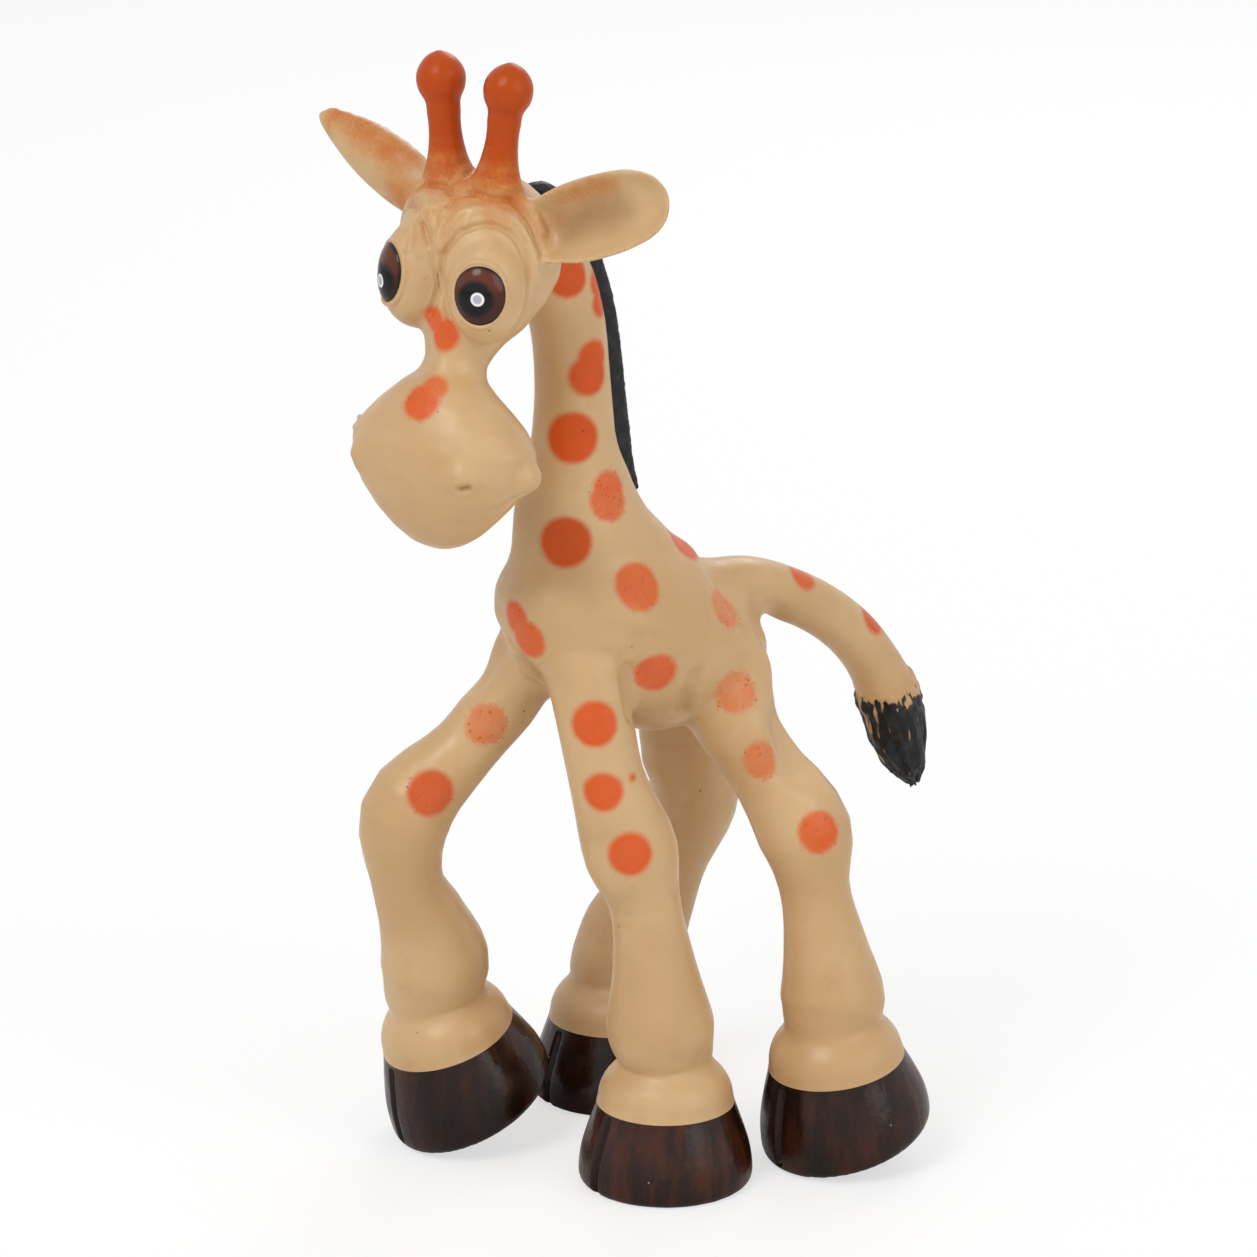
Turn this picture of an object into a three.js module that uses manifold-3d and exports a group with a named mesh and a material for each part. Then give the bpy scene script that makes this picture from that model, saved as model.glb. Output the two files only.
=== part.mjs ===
import * as THREE from 'three';
import { mergeVertices } from 'three/addons/utils/BufferGeometryUtils.js';
import Module from 'manifold-3d';

const wasm = await Module();
wasm.setup();

// Driving dimensions
const FIGURE_HEIGHT = 150;
const HOOF_HEIGHT = 16.8;
const HOOF_RADIUS = 11.6;
const PASTERN_STAND = 1.2;
const WIRE_RADIUS = 0.75;
const GAP = 0.3;
const WELD = 0.0001;
const RING_STEP = 2.8;
const LID_HALF_WIDTH = 5.2;
const LID_HALF_HEIGHT = 7.2;
const LID_HALF_DEPTH = 5.8;
const EYE_HALF_WIDTH = 3.8;
const EYE_HALF_HEIGHT = 4.9;
const EYE_HALF_DEPTH = 3.1;
const EYE_STAND = 2.9;
const CLEFT_DEPTH = 1.1;
const NOSTRIL_RADIUS = 1.0;
const EAR_HOLLOW_SHARE = -0.35;
const BACK_NARROWING_SHARE = 0.3;
const HOOF_TOP_SHARE = 0.65;
const HEAD_TURN_DEGREES = 20;
const HEAD_TILT_DEGREES = 2;
const LIMB_SIDE_COUNT = 12;
const EAR_SIDE_COUNT = 14;
const BALL_SIDE_COUNT = 16;
const FOOT_SIDE_COUNT = 16;
const BODY_SIDE_COUNT = 18;
const WIRE_SIDE_COUNT = 6;
const STRIP_SIDE_COUNT = 10;
const SMALL_SIDE_COUNT = 8;

// Places as shares of the figure's height: across, along, up, half width, half depth
const TORSO_SHARES = [
  [0, -0.126, 0.54, 0.004, 0.004],
  [0, -0.12, 0.5393, 0.024, 0.0253],
  [0, -0.108, 0.5373, 0.0427, 0.0467],
  [0, -0.0893, 0.5333, 0.0607, 0.0653],
  [0, -0.0613, 0.5267, 0.076, 0.0813],
  [0, -0.03, 0.5187, 0.084, 0.092],
  [0, 0.0033, 0.5013, 0.0867, 0.086],
  [0, 0.0367, 0.484, 0.086, 0.0767],
  [0, 0.07, 0.4747, 0.08, 0.0653],
  [0, 0.0987, 0.4733, 0.068, 0.0573],
  [0, 0.1213, 0.4733, 0.0507, 0.0427],
  [0, 0.1373, 0.4747, 0.0293, 0.0253],
  [0, 0.1453, 0.4753, 0.012, 0.0107],
  [0, 0.1473, 0.4753, 0.0033, 0.0033],
];
const SPINE_SHARES = [
  [0.0147, -0.1467, 0.8667, 0.0307, 0.0307],
  [0.0053, -0.1067, 0.8507, 0.0327, 0.0327],
  [0, -0.0733, 0.816, 0.0327, 0.0333],
  [0, -0.0593, 0.7747, 0.032, 0.0327],
  [0, -0.054, 0.7267, 0.032, 0.0327],
  [0, -0.0527, 0.6773, 0.0353, 0.036],
  [0, -0.0533, 0.6347, 0.0413, 0.044],
  [0, -0.048, 0.5933, 0.052, 0.056],
  [0, -0.0267, 0.5533, 0.0547, 0.0573],
  [0, 0.0333, 0.5227, 0.04, 0.04],
  [0, 0.084, 0.5107, 0.0307, 0.0293],
  [0, 0.1307, 0.508, 0.028, 0.0267],
  [0, 0.172, 0.4933, 0.0253, 0.0247],
  [0, 0.212, 0.472, 0.024, 0.024],
  [0, 0.2487, 0.4427, 0.024, 0.024],
  [0, 0.276, 0.408, 0.0247, 0.0247],
  [0, 0.292, 0.3747, 0.028, 0.028],
  [0, 0.304, 0.3373, 0.0253, 0.0253],
  [0, 0.316, 0.3067, 0.0173, 0.0173],
  [0, 0.3247, 0.2867, 0.0047, 0.0047],
];

// Legs, from the left foot over the back to the right foot: how far across and along each place lies from
// the upright above its hoof, how high between hoof and head top, half width, half depth
const FRONT_SHARES = [
  [0.0055, -0.0088, 0.0318, 0.0467, 0.048],
  [0.0105, -0.0156, 0.0939, 0.036, 0.0373],
  [0.0137, -0.0245, 0.1606, 0.0307, 0.0313],
  [0.0144, -0.0381, 0.2197, 0.04, 0.042],
  [0.0129, -0.0583, 0.2947, 0.0327, 0.0333],
  [0.0094, -0.0665, 0.3606, 0.0333, 0.034],
  [-0.0032, -0.066, 0.4091, 0.036, 0.0373],
  [-0.0388, -0.0661, 0.4348, 0.036, 0.036],
  [0.0362, 0.0074, 0.3871, 0.036, 0.0373],
  [0.0277, -0.0071, 0.3339, 0.0347, 0.036],
  [0.0218, -0.0349, 0.2808, 0.0333, 0.0347],
  [0.0077, -0.0721, 0.2182, 0.04, 0.0413],
  [0.0061, -0.0566, 0.14, 0.0313, 0.032],
  [0.0035, -0.0258, 0.0822, 0.0393, 0.0407],
  [0.0024, -0.0042, 0.0337, 0.048, 0.0493],
];
const HIND_SHARES = [
  [0.0011, 0.0052, 0.0145, 0.0467, 0.048],
  [0.0031, 0.0082, 0.0704, 0.0367, 0.038],
  [0.004, 0.0096, 0.1332, 0.0307, 0.0313],
  [0.0005, 0.0138, 0.193, 0.0413, 0.0427],
  [-0.0091, 0.0021, 0.2574, 0.0387, 0.0413],
  [-0.0221, -0.0132, 0.3156, 0.0413, 0.044],
  [-0.0404, -0.0146, 0.3637, 0.04, 0.04],
  [-0.0734, -0.0085, 0.3885, 0.0333, 0.0333],
  [0.0474, 0.0393, 0.3742, 0.04, 0.04],
  [0.036, 0.0548, 0.3182, 0.0413, 0.044],
  [0.0265, 0.0664, 0.247, 0.0387, 0.0413],
  [0.0175, 0.0719, 0.1818, 0.04, 0.0413],
  [0.0094, 0.059, 0.1212, 0.0313, 0.032],
  [0.002, 0.0438, 0.0803, 0.038, 0.0393],
  [-0.0006, 0.0217, 0.0379, 0.0467, 0.048],
];

// Places measured from the middle of the head: to its left, forward, up
const HEAD_SHARES = [
  [0, -0.016, 0.064, 0.004, 0.004],
  [0, -0.016, 0.06, 0.028, 0.0267],
  [0, -0.0153, 0.048, 0.0507, 0.0467],
  [0, -0.0133, 0.0293, 0.0653, 0.0587],
  [0, -0.012, 0.0067, 0.072, 0.0627],
  [0.0006, -0.01, -0.0173, 0.0713, 0.0613],
  [0.0015, -0.002, -0.0413, 0.0573, 0.0513],
  [0.0023, 0.012, -0.064, 0.038, 0.0393],
  [0.0029, 0.022, -0.0827, 0.0287, 0.032],
  [0.0034, 0.028, -0.0973, 0.028, 0.03],
  [0.004, 0.0333, -0.1133, 0.0453, 0.0387],
  [0.0046, 0.0373, -0.132, 0.0693, 0.0487],
  [0.0054, 0.04, -0.1547, 0.0867, 0.0553],
  [0.0063, 0.0413, -0.18, 0.0867, 0.056],
  [0.0071, 0.0407, -0.204, 0.0727, 0.0507],
  [0.0079, 0.0387, -0.224, 0.0527, 0.0413],
  [0.0085, 0.036, -0.24, 0.0287, 0.0253],
  [0.0087, 0.0347, -0.2473, 0.0053, 0.0053],
];
const HORN_SHARES = [
  [0.0233, 0, 0.04, 0.024, 0.024],
  [0.0247, 0, 0.0613, 0.0193, 0.0193],
  [0.0273, 0, 0.0827, 0.014, 0.014],
  [0.03, 0, 0.104, 0.013, 0.013],
  [0.032, 0, 0.1213, 0.016, 0.016],
  [0.034, 0, 0.136, 0.0207, 0.0207],
  [0.0353, 0, 0.148, 0.02, 0.02],
  [0.0363, 0, 0.1587, 0.0127, 0.0127],
  [0.0367, 0, 0.164, 0.0033, 0.0033],
];
const EAR_SHARES = [
  [0.048, -0.0147, 0.0207, 0.02, 0.014],
  [0.0693, -0.0167, 0.0293, 0.028, 0.0127],
  [0.092, -0.0187, 0.0393, 0.0327, 0.012],
  [0.1173, -0.0207, 0.0507, 0.0327, 0.0113],
  [0.1413, -0.022, 0.062, 0.0287, 0.01],
  [0.1613, -0.0227, 0.072, 0.0213, 0.008],
  [0.1747, -0.0227, 0.0793, 0.0113, 0.006],
  [0.18, -0.0227, 0.0827, 0.0033, 0.0027],
];
const MANE_SHARES = [
  [0.0107, -0.108, 0.8973, 0.0027, 0.0033],
  [0.008, -0.0913, 0.888, 0.008, 0.0127],
  [0.004, -0.062, 0.86, 0.0093, 0.0173],
  [0, -0.0427, 0.82, 0.01, 0.018],
  [0, -0.0287, 0.7733, 0.01, 0.018],
  [0, -0.022, 0.7267, 0.01, 0.018],
  [0, -0.016, 0.68, 0.01, 0.018],
  [0, -0.0067, 0.6467, 0.0087, 0.014],
  [0, 0.008, 0.62, 0.0033, 0.0053],
];

// Half width of a hoof as shares of its sole, at shares of its height
const HOOF_PROFILE_SHARES = [
  [0, 0.95],
  [0.06, 1],
  [0.25, 0.975],
  [0.45, 0.89],
  [HOOF_TOP_SHARE, 0.79],
];
const PASTERN_PROFILE_SHARES = [
  [HOOF_TOP_SHARE, 0.785],
  [0.77, 0.76],
  [0.87, 0.69],
  [0.94, 0.6],
  [1, 0.525],
];

const headMiddleShares = [0.0167, -0.1667, 0.8527];
const lidShares = [0.0353, 0.0233, -0.02];
const lookShares = [0.371, 0.918, 0.139];
const nostrilShares = [0.0589, 0.0859, -0.1730];

// How each hoof stands: degrees that it leans on its toe, that its sole leans more, that it turns in,
// and its place on the floor as shares of its radius
const HOOVES = {
  front_left: { leanDegrees: [0, 0, 0], placeShares: [0.888, -0.0427] },
  front_right: { leanDegrees: [20, 8, -6], placeShares: [-1.4397, -1.1466] },
  hind_left: { leanDegrees: [10, 8, 0], placeShares: [1.5517, 2.056] },
  hind_right: { leanDegrees: [0, 0, 0], placeShares: [-1.6681, 1.0345] },
};

// Where along its line, as shares of it, the skin is divided for each bend and the wires end
const SPINE_CUT_SHARES = {
  wire: [0.01842, 0.91053],
  neckTop: [0.09737, 0.14474],
  neckMiddle: [0.18684, 0.23158],
  neckBase: [0.28158, 0.33421],
  neckRoot: [0.33421, 0.42105],
  tailRoot: [0.52632, 0.63158],
  tailBase: [0.63158, 0.68158],
  tailMiddle: [0.73158, 0.77895],
  tuft: [0.80789, 1],
};
const LEG_CUT_SHARES = {
  wire: [0.03182, 0.96818],
  fetlock: [0.09091, 0.17273],
  knee: [0.29773, 0.33864],
  shoulder: [0.37045, 0.40909],
  root: [0.40909, 0.5],
};

const COLOURS = {
  skin: { color: 0xd2aa76, roughness: 0.5, metalness: 0 },
  horn: { color: 0xc8571f, roughness: 0.5, metalness: 0 },
  mane: { color: 0x232124, roughness: 0.55, metalness: 0 },
  hoof: { color: 0x33201b, roughness: 0.3, metalness: 0 },
  eye: { color: 0x3a1410, roughness: 0.15, metalness: 0 },
  wire: { color: 0x9a9a98, roughness: 0.35, metalness: 1 },
};

const UP = new THREE.Vector3(0, 0, 1);
const FORWARD = new THREE.Vector3(0, -1, 0);

const group = new THREE.Group();
group.name = 'toy_giraffe';

function place(shares) {
  return new THREE.Vector3(shares[0], shares[1], shares[2]).multiplyScalar(FIGURE_HEIGHT);
}

function headPlace(shares) {
  const turned = new THREE.Vector3(shares[0], -shares[1], shares[2]).multiplyScalar(FIGURE_HEIGHT);
  turned.applyAxisAngle(FORWARD, THREE.MathUtils.degToRad(-HEAD_TILT_DEGREES));
  return turned.applyAxisAngle(UP, THREE.MathUtils.degToRad(HEAD_TURN_DEGREES)).add(place(headMiddleShares));
}

// A centre line with an oval size at each of its stations
function makeLine(points, sizes) {
  const curve = new THREE.CatmullRomCurve3(points);
  const sizeCurve = new THREE.CatmullRomCurve3(sizes, false, 'catmullrom', 0.5);
  const last = points.length - 1;
  return {
    last,
    at: (station) => curve.getPoint(station / last),
    tangent: (station) => curve.getTangent(station / last),
    size: (station) => sizeCurve.getPoint(station / last),
    span(from, to) {
      const steps = 16;
      let total = 0;
      let before = this.at(from);
      for (let i = 1; i <= steps; i += 1) {
        const point = this.at(from + ((to - from) * i) / steps);
        total += point.distanceTo(before);
        before = point;
      }
      return total;
    },
  };
}

function lineFromShares(table, toPlace = place) {
  const points = table.map(toPlace);
  const sizes = table.map((row) => new THREE.Vector3(row[3], row[4], 0).multiplyScalar(FIGURE_HEIGHT));
  return makeLine(points, sizes);
}

function ringAt(centre, tangent, reference, halfWidth, halfDepth, sides, shape = null) {
  const front = reference.clone().addScaledVector(tangent, -reference.dot(tangent)).normalize();
  const across = new THREE.Vector3().crossVectors(tangent, front);
  const ring = [];
  for (let i = 0; i < sides; i += 1) {
    const angle = (i / sides) * Math.PI * 2;
    const [deepShare, wideShare] = shape ? shape(angle) : [1, 1];
    const point = centre.clone();
    point.addScaledVector(front, Math.cos(angle) * halfDepth * deepShare);
    point.addScaledVector(across, Math.sin(angle) * halfWidth * wideShare);
    ring.push(point);
  }
  return ring;
}

// Closes a row of rings into one body with flat ends
function bodyFromRings(rings) {
  const sides = rings[0].length;
  const positions = [];
  const indices = [];
  rings.forEach((ring) => ring.forEach((point) => positions.push(point.x, point.y, point.z)));
  for (let r = 0; r < rings.length - 1; r += 1) {
    for (let i = 0; i < sides; i += 1) {
      const a = r * sides + i;
      const b = r * sides + ((i + 1) % sides);
      indices.push(a, b, a + sides, b, b + sides, a + sides);
    }
  }
  [rings[0], rings[rings.length - 1]].forEach((ring, end) => {
    const middle = new THREE.Vector3();
    ring.forEach((point) => middle.addScaledVector(point, 1 / sides));
    const first = end === 0 ? 0 : (rings.length - 1) * sides;
    const centre = positions.length / 3;
    positions.push(middle.x, middle.y, middle.z);
    for (let i = 0; i < sides; i += 1) {
      const a = first + i;
      const b = first + ((i + 1) % sides);
      indices.push(...(end === 0 ? [centre, b, a] : [centre, a, b]));
    }
  });
  const geometry = new THREE.BufferGeometry();
  geometry.setAttribute('position', new THREE.Float32BufferAttribute(positions, 3));
  geometry.setIndex(indices);
  return toSolid(geometry);
}

function toSolid(source) {
  const geometry = source.clone();
  geometry.deleteAttribute('normal');
  geometry.deleteAttribute('uv');
  const merged = mergeVertices(geometry, WELD);
  const solid = new wasm.Manifold(new wasm.Mesh({
    numProp: 3,
    vertProperties: new Float32Array(merged.attributes.position.array),
    triVerts: new Uint32Array(merged.index.array),
  }));
  if (solid.volume() > 0) {
    return solid;
  }
  const flipped = new Uint32Array(merged.index.array);
  for (let i = 0; i < flipped.length; i += 3) {
    [flipped[i], flipped[i + 1]] = [flipped[i + 1], flipped[i]];
  }
  return new wasm.Manifold(new wasm.Mesh({
    numProp: 3,
    vertProperties: new Float32Array(merged.attributes.position.array),
    triVerts: flipped,
  }));
}

// The stretch of a line between two stations, each cut end flat and half a gap short of its station
function stretch(line, from, to, options) {
  const {
    reference, sides = LIMB_SIDE_COUNT, extra = 0, openStart = true, openEnd = true, shape = null,
  } = options;
  const count = Math.max(1, Math.round(line.span(from, to) / RING_STEP));
  const rings = [];
  for (let i = 0; i <= count; i += 1) {
    const station = from + ((to - from) * i) / count;
    const tangent = line.tangent(station);
    const centre = line.at(station);
    if (i === 0 && openStart) {
      centre.addScaledVector(tangent, GAP / 2);
    }
    if (i === count && openEnd) {
      centre.addScaledVector(tangent, -GAP / 2);
    }
    const size = line.size(station);
    rings.push(ringAt(centre, tangent, reference, size.x + extra, size.y + extra, sides, shape));
  }
  return bodyFromRings(rings);
}

// A wire along a line; with some extra it is the wire's bore, which also runs past both of its ends
function wireRod(line, from, to, extra) {
  const steps = Math.round(line.last * 3);
  const points = [];
  for (let i = 0; i <= steps; i += 1) {
    points.push(line.at(from + ((to - from) * i) / steps));
  }
  points[0].addScaledVector(line.tangent(from), -extra);
  points[steps].addScaledVector(line.tangent(to), extra);
  const outline = new THREE.Shape();
  for (let i = 0; i < WIRE_SIDE_COUNT; i += 1) {
    const angle = (i / WIRE_SIDE_COUNT) * Math.PI * 2;
    const x = Math.cos(angle) * (WIRE_RADIUS + extra);
    const y = Math.sin(angle) * (WIRE_RADIUS + extra);
    if (i === 0) {
      outline.moveTo(x, y);
    } else {
      outline.lineTo(x, y);
    }
  }
  return toSolid(new THREE.ExtrudeGeometry(outline, {
    steps,
    bevelEnabled: false,
    extrudePath: new THREE.CatmullRomCurve3(points),
  }));
}

function ball(centre, radius, sides) {
  const geometry = new THREE.SphereGeometry(radius, sides, Math.round(sides * 0.6));
  geometry.translate(centre.x, centre.y, centre.z);
  return toSolid(geometry);
}

// An upright egg: half width, half height and, along its look, half depth
function egg(centre, look, halves, extra, sides) {
  const across = new THREE.Vector3().crossVectors(UP, look).normalize();
  const upright = new THREE.Vector3().crossVectors(look, across);
  const geometry = new THREE.SphereGeometry(1, sides, Math.round(sides * 0.6));
  geometry.scale(halves[0] + extra, halves[1] + extra, halves[2] + extra);
  geometry.applyMatrix4(new THREE.Matrix4().makeBasis(across, upright, look).setPosition(centre));
  return toSolid(geometry);
}

const solids = [];
function keep(name, solid, look) {
  solids.push({ name, solid, look });
}

// Centre lines: the back runs from the head to the tuft, each pair of legs hangs on one line
const hoofData = {};
function hoofEnds(name) {
  const { leanDegrees, placeShares } = HOOVES[name];
  const [lean, soleLean, turn] = leanDegrees.map((angle) => THREE.MathUtils.degToRad(angle));
  const toe = new THREE.Vector3(Math.sin(turn), -Math.cos(turn), 0);
  const axis = toe.clone().multiplyScalar(Math.sin(lean)).addScaledVector(UP, Math.cos(lean));
  const sole = new THREE.Vector3(
    placeShares[0],
    placeShares[1],
    HOOF_PROFILE_SHARES[0][1] * Math.sin(lean + soleLean),
  ).multiplyScalar(HOOF_RADIUS);
  const across = new THREE.Vector3().crossVectors(axis, toe).normalize();
  hoofData[name] = { sole, axis, toe, across, soleLean };
  return [0, HOOF_HEIGHT / 2, HOOF_HEIGHT, HOOF_HEIGHT + PASTERN_STAND].map(
    (height) => sole.clone().addScaledVector(axis, height),
  );
}

function legLine(leftName, rightName, table) {
  const left = hoofEnds(leftName);
  const right = hoofEnds(rightName).reverse();
  const rows = table.map((row, i) => {
    const foot = i < table.length / 2 ? left[left.length - 1] : right[0];
    const reach = 1 - row[2];
    return new THREE.Vector3(
      foot.x * reach + FIGURE_HEIGHT * row[0],
      foot.y * reach + FIGURE_HEIGHT * row[1],
      foot.z * reach + FIGURE_HEIGHT * row[2],
    );
  });
  const points = [...left, ...rows, ...right];
  const topSize = HOOF_RADIUS * PASTERN_PROFILE_SHARES[PASTERN_PROFILE_SHARES.length - 1][1];
  const ends = [1, 1, 1, 1.04].map((share) => new THREE.Vector3(topSize * share, topSize * share, 0));
  const sizes = table.map((row) => new THREE.Vector3(row[3], row[4], 0).multiplyScalar(FIGURE_HEIGHT));
  return makeLine(points, [...ends, ...sizes, ...ends.toReversed()]);
}

const spine = lineFromShares(SPINE_SHARES);
const front = legLine('front_left', 'front_right', FRONT_SHARES);
const hind = legLine('hind_left', 'hind_right', HIND_SHARES);
const torsoLine = lineFromShares(TORSO_SHARES);
const headLine = lineFromShares(HEAD_SHARES, headPlace);

function stationsOf(line, cutShares) {
  const entries = Object.entries(cutShares);
  return Object.fromEntries(entries.map(([name, ends]) => [name, ends.map((share) => share * line.last)]));
}

const spineStations = stationsOf(spine, SPINE_CUT_SHARES);
const legStations = stationsOf(front, LEG_CUT_SHARES);
const spineBore = wireRod(spine, ...spineStations.wire, GAP);
const frontBore = wireRod(front, ...legStations.wire, GAP);
const hindBore = wireRod(hind, ...legStations.wire, GAP);

function legStation(line, side, station) {
  return side > 0 ? station : line.last - station;
}

function legStretch(line, side, low, high, extra = 0, openLow = true, openHigh = true) {
  const a = legStation(line, side, low);
  const b = legStation(line, side, high);
  const options = { reference: FORWARD, extra };
  if (a < b) {
    return stretch(line, a, b, { ...options, openStart: openLow, openEnd: openHigh });
  }
  return stretch(line, b, a, { ...options, openStart: openHigh, openEnd: openLow });
}

const LEGS = [
  { name: 'front_left', bendNames: ['shoulder', 'knee'], line: front, side: 1, bore: frontBore },
  { name: 'front_right', bendNames: ['shoulder', 'knee'], line: front, side: -1, bore: frontBore },
  { name: 'hind_left', bendNames: ['hip', 'hock'], line: hind, side: 1, bore: hindBore },
  { name: 'hind_right', bendNames: ['hip', 'hock'], line: hind, side: -1, bore: hindBore },
];

// Body: the torso with the roots of neck, tail and legs
const eggSection = (angle) => [1, 1 - BACK_NARROWING_SHARE * Math.max(0, Math.cos(angle))];
const torsoOptions = {
  reference: UP, sides: BODY_SIDE_COUNT, openStart: false, openEnd: false, shape: eggSection,
};
let torso = stretch(torsoLine, 0, torsoLine.last, torsoOptions);
torso = torso.add(stretch(spine, ...spineStations.neckRoot, { reference: FORWARD, openEnd: false }));
torso = torso.add(stretch(spine, ...spineStations.tailRoot, { reference: UP, openStart: false }));
LEGS.forEach((leg) => {
  torso = torso.add(legStretch(leg.line, leg.side, ...legStations.root, 0, true, false));
});
LEGS.forEach((leg) => {
  const [bendLow, bendHigh] = legStations.shoulder;
  torso = torso.subtract(legStretch(leg.line, leg.side, bendLow - 1, bendHigh, GAP, true, false));
});
torso = torso.subtract(spineBore).subtract(frontBore).subtract(hindBore);
keep('torso', torso, 'skin');

// Legs: a soft bend at the shoulder or hip, at the knee or hock and above the hoof
LEGS.forEach((leg) => {
  const { fetlock, knee, shoulder } = legStations;
  const piece = (low, high) => legStretch(leg.line, leg.side, low, high).subtract(leg.bore);
  keep(`${leg.name}_${leg.bendNames[0]}_bend`, piece(...shoulder), 'skin');
  keep(`${leg.name}_upper_leg`, piece(knee[1], shoulder[0]), 'skin');
  keep(`${leg.name}_${leg.bendNames[1]}_bend`, piece(...knee), 'skin');
  keep(`${leg.name}_lower_leg`, piece(fetlock[1], knee[0]), 'skin');
  keep(`${leg.name}_fetlock_bend`, piece(...fetlock), 'skin');
  const { sole, axis, toe, across, soleLean } = hoofData[leg.name];
  const cleft = (angle) => (Math.abs(angle) < 0.01 ? [1 - CLEFT_DEPTH / HOOF_RADIUS, 1] : [1, 1]);
  const footRings = (profile, endShifts, shape) => profile.map(([heightShare, widthShare], i) => {
    const isEnd = i === profile.length - 1;
    const shift = (i === 0 ? endShifts[0] : 0) + (isEnd ? endShifts[1] : 0);
    const centre = sole.clone().addScaledVector(axis, HOOF_HEIGHT * heightShare + shift);
    const radius = HOOF_RADIUS * widthShare;
    const lean = soleLean * Math.max(0, 1 - heightShare / HOOF_TOP_SHARE);
    const normal = axis.clone().applyAxisAngle(across, lean);
    return ringAt(centre, normal, toe, radius, radius, FOOT_SIDE_COUNT, shape);
  });
  const hoof = bodyFromRings(footRings(HOOF_PROFILE_SHARES, [0, -GAP / 2], cleft));
  const pastern = bodyFromRings(footRings(PASTERN_PROFILE_SHARES, [GAP / 2, -GAP / 2], null));
  keep(`${leg.name}_pastern`, pastern.subtract(leg.bore), 'skin');
  keep(`${leg.name}_hoof`, hoof.subtract(leg.bore), 'hoof');
});

// Neck and tail
const {
  neckTop, neckMiddle, neckBase, tailBase, tailMiddle, tuft,
} = spineStations;
const tailOptions = { reference: UP, sides: LIMB_SIDE_COUNT };
function spinePiece(from, to, options = {}) {
  return stretch(spine, from, to, { reference: FORWARD, ...options }).subtract(spineBore);
}
keep('neck_base_bend', spinePiece(...neckBase), 'skin');
keep('neck_lower', spinePiece(neckMiddle[1], neckBase[0]), 'skin');
keep('neck_middle_bend', spinePiece(...neckMiddle), 'skin');
keep('neck_upper', spinePiece(neckTop[1], neckMiddle[0]), 'skin');
keep('neck_top_bend', spinePiece(...neckTop), 'skin');
keep('tail_base_bend', spinePiece(...tailBase, tailOptions), 'skin');
keep('tail_upper', spinePiece(tailBase[1], tailMiddle[0], tailOptions), 'skin');
keep('tail_middle_bend', spinePiece(...tailMiddle, tailOptions), 'skin');
keep('tail_end', spinePiece(tailMiddle[1], tuft[0], tailOptions), 'skin');
keep('tail_tuft', spinePiece(...tuft, { ...tailOptions, openEnd: false }), 'mane');

// Head: skull and muzzle in one, lids over the eyes, and the top of the neck
const forwardOfHead = FORWARD.clone().applyAxisAngle(UP, THREE.MathUtils.degToRad(HEAD_TURN_DEGREES));
function lidOf(side) {
  const lid = headPlace([lidShares[0] * side, lidShares[1], lidShares[2]]);
  const aim = headPlace([lookShares[0] * side, lookShares[1], lookShares[2]]);
  return { lid, look: aim.sub(headPlace([0, 0, 0])).normalize() };
}

function headSolid(extra) {
  let solid = stretch(headLine, 0, headLine.last, {
    reference: forwardOfHead, sides: BODY_SIDE_COUNT, extra, openStart: false, openEnd: false,
  });
  [1, -1].forEach((side) => {
    const { lid, look } = lidOf(side);
    const halves = [LID_HALF_WIDTH, LID_HALF_HEIGHT, LID_HALF_DEPTH];
    solid = solid.add(egg(lid, look, halves, extra, BALL_SIDE_COUNT));
  });
  return solid;
}
const headOuter = headSolid(GAP);
let head = headSolid(0);
head = head.add(stretch(spine, 0, neckTop[0], { reference: FORWARD, openStart: false }));
[1, -1].forEach((side) => {
  const sideName = side > 0 ? 'left' : 'right';
  const { lid, look } = lidOf(side);
  const eyeMiddle = lid.clone().addScaledVector(look, EYE_STAND);
  const eyeHalves = [EYE_HALF_WIDTH, EYE_HALF_HEIGHT, EYE_HALF_DEPTH];
  const eyeCap = (extra) => egg(eyeMiddle, look, eyeHalves, extra, BALL_SIDE_COUNT)
    .trimByPlane(look.toArray(), look.dot(eyeMiddle) - extra);
  head = head.subtract(eyeCap(GAP));
  keep(`eye_${sideName}`, eyeCap(0), 'eye');
  const nostril = headPlace([nostrilShares[0] * side, nostrilShares[1], nostrilShares[2]]);
  head = head.subtract(ball(nostril, NOSTRIL_RADIUS, SMALL_SIDE_COUNT));
  const mirrored = (row) => headPlace([row[0] * side, row[1], row[2]]);
  const horn = stretch(lineFromShares(HORN_SHARES, mirrored), 0, HORN_SHARES.length - 1, {
    reference: forwardOfHead, sides: LIMB_SIDE_COUNT, openStart: false, openEnd: false,
  });
  keep(`horn_${sideName}`, horn.subtract(headOuter), 'horn');
  const hollow = (angle) => (Math.cos(angle) > 0.2 ? [EAR_HOLLOW_SHARE, 1] : [1, 1]);
  const ear = stretch(lineFromShares(EAR_SHARES, mirrored), 0, EAR_SHARES.length - 1, {
    reference: forwardOfHead, sides: EAR_SIDE_COUNT, openStart: false, openEnd: false, shape: hollow,
  });
  keep(`ear_${sideName}`, ear.subtract(headOuter), 'skin');
});
head = head.subtract(spineBore);
keep('head', head, 'skin');

// Mane: one soft strip standing on the back of the neck
const maneLine = lineFromShares(MANE_SHARES);
const maneStrip = stretch(maneLine, 0, maneLine.last, {
  reference: FORWARD, sides: STRIP_SIDE_COUNT, openStart: false, openEnd: false,
});
const neckOuter = stretch(spine, spineStations.wire[0], spineStations.neckRoot[1], {
  reference: FORWARD, extra: GAP, openStart: false, openEnd: false,
});
const torsoOuter = stretch(torsoLine, 0, torsoLine.last, { ...torsoOptions, extra: GAP });
const mane = maneStrip.subtract(headOuter).subtract(neckOuter).subtract(torsoOuter);
keep('mane', mane, 'mane');

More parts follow.
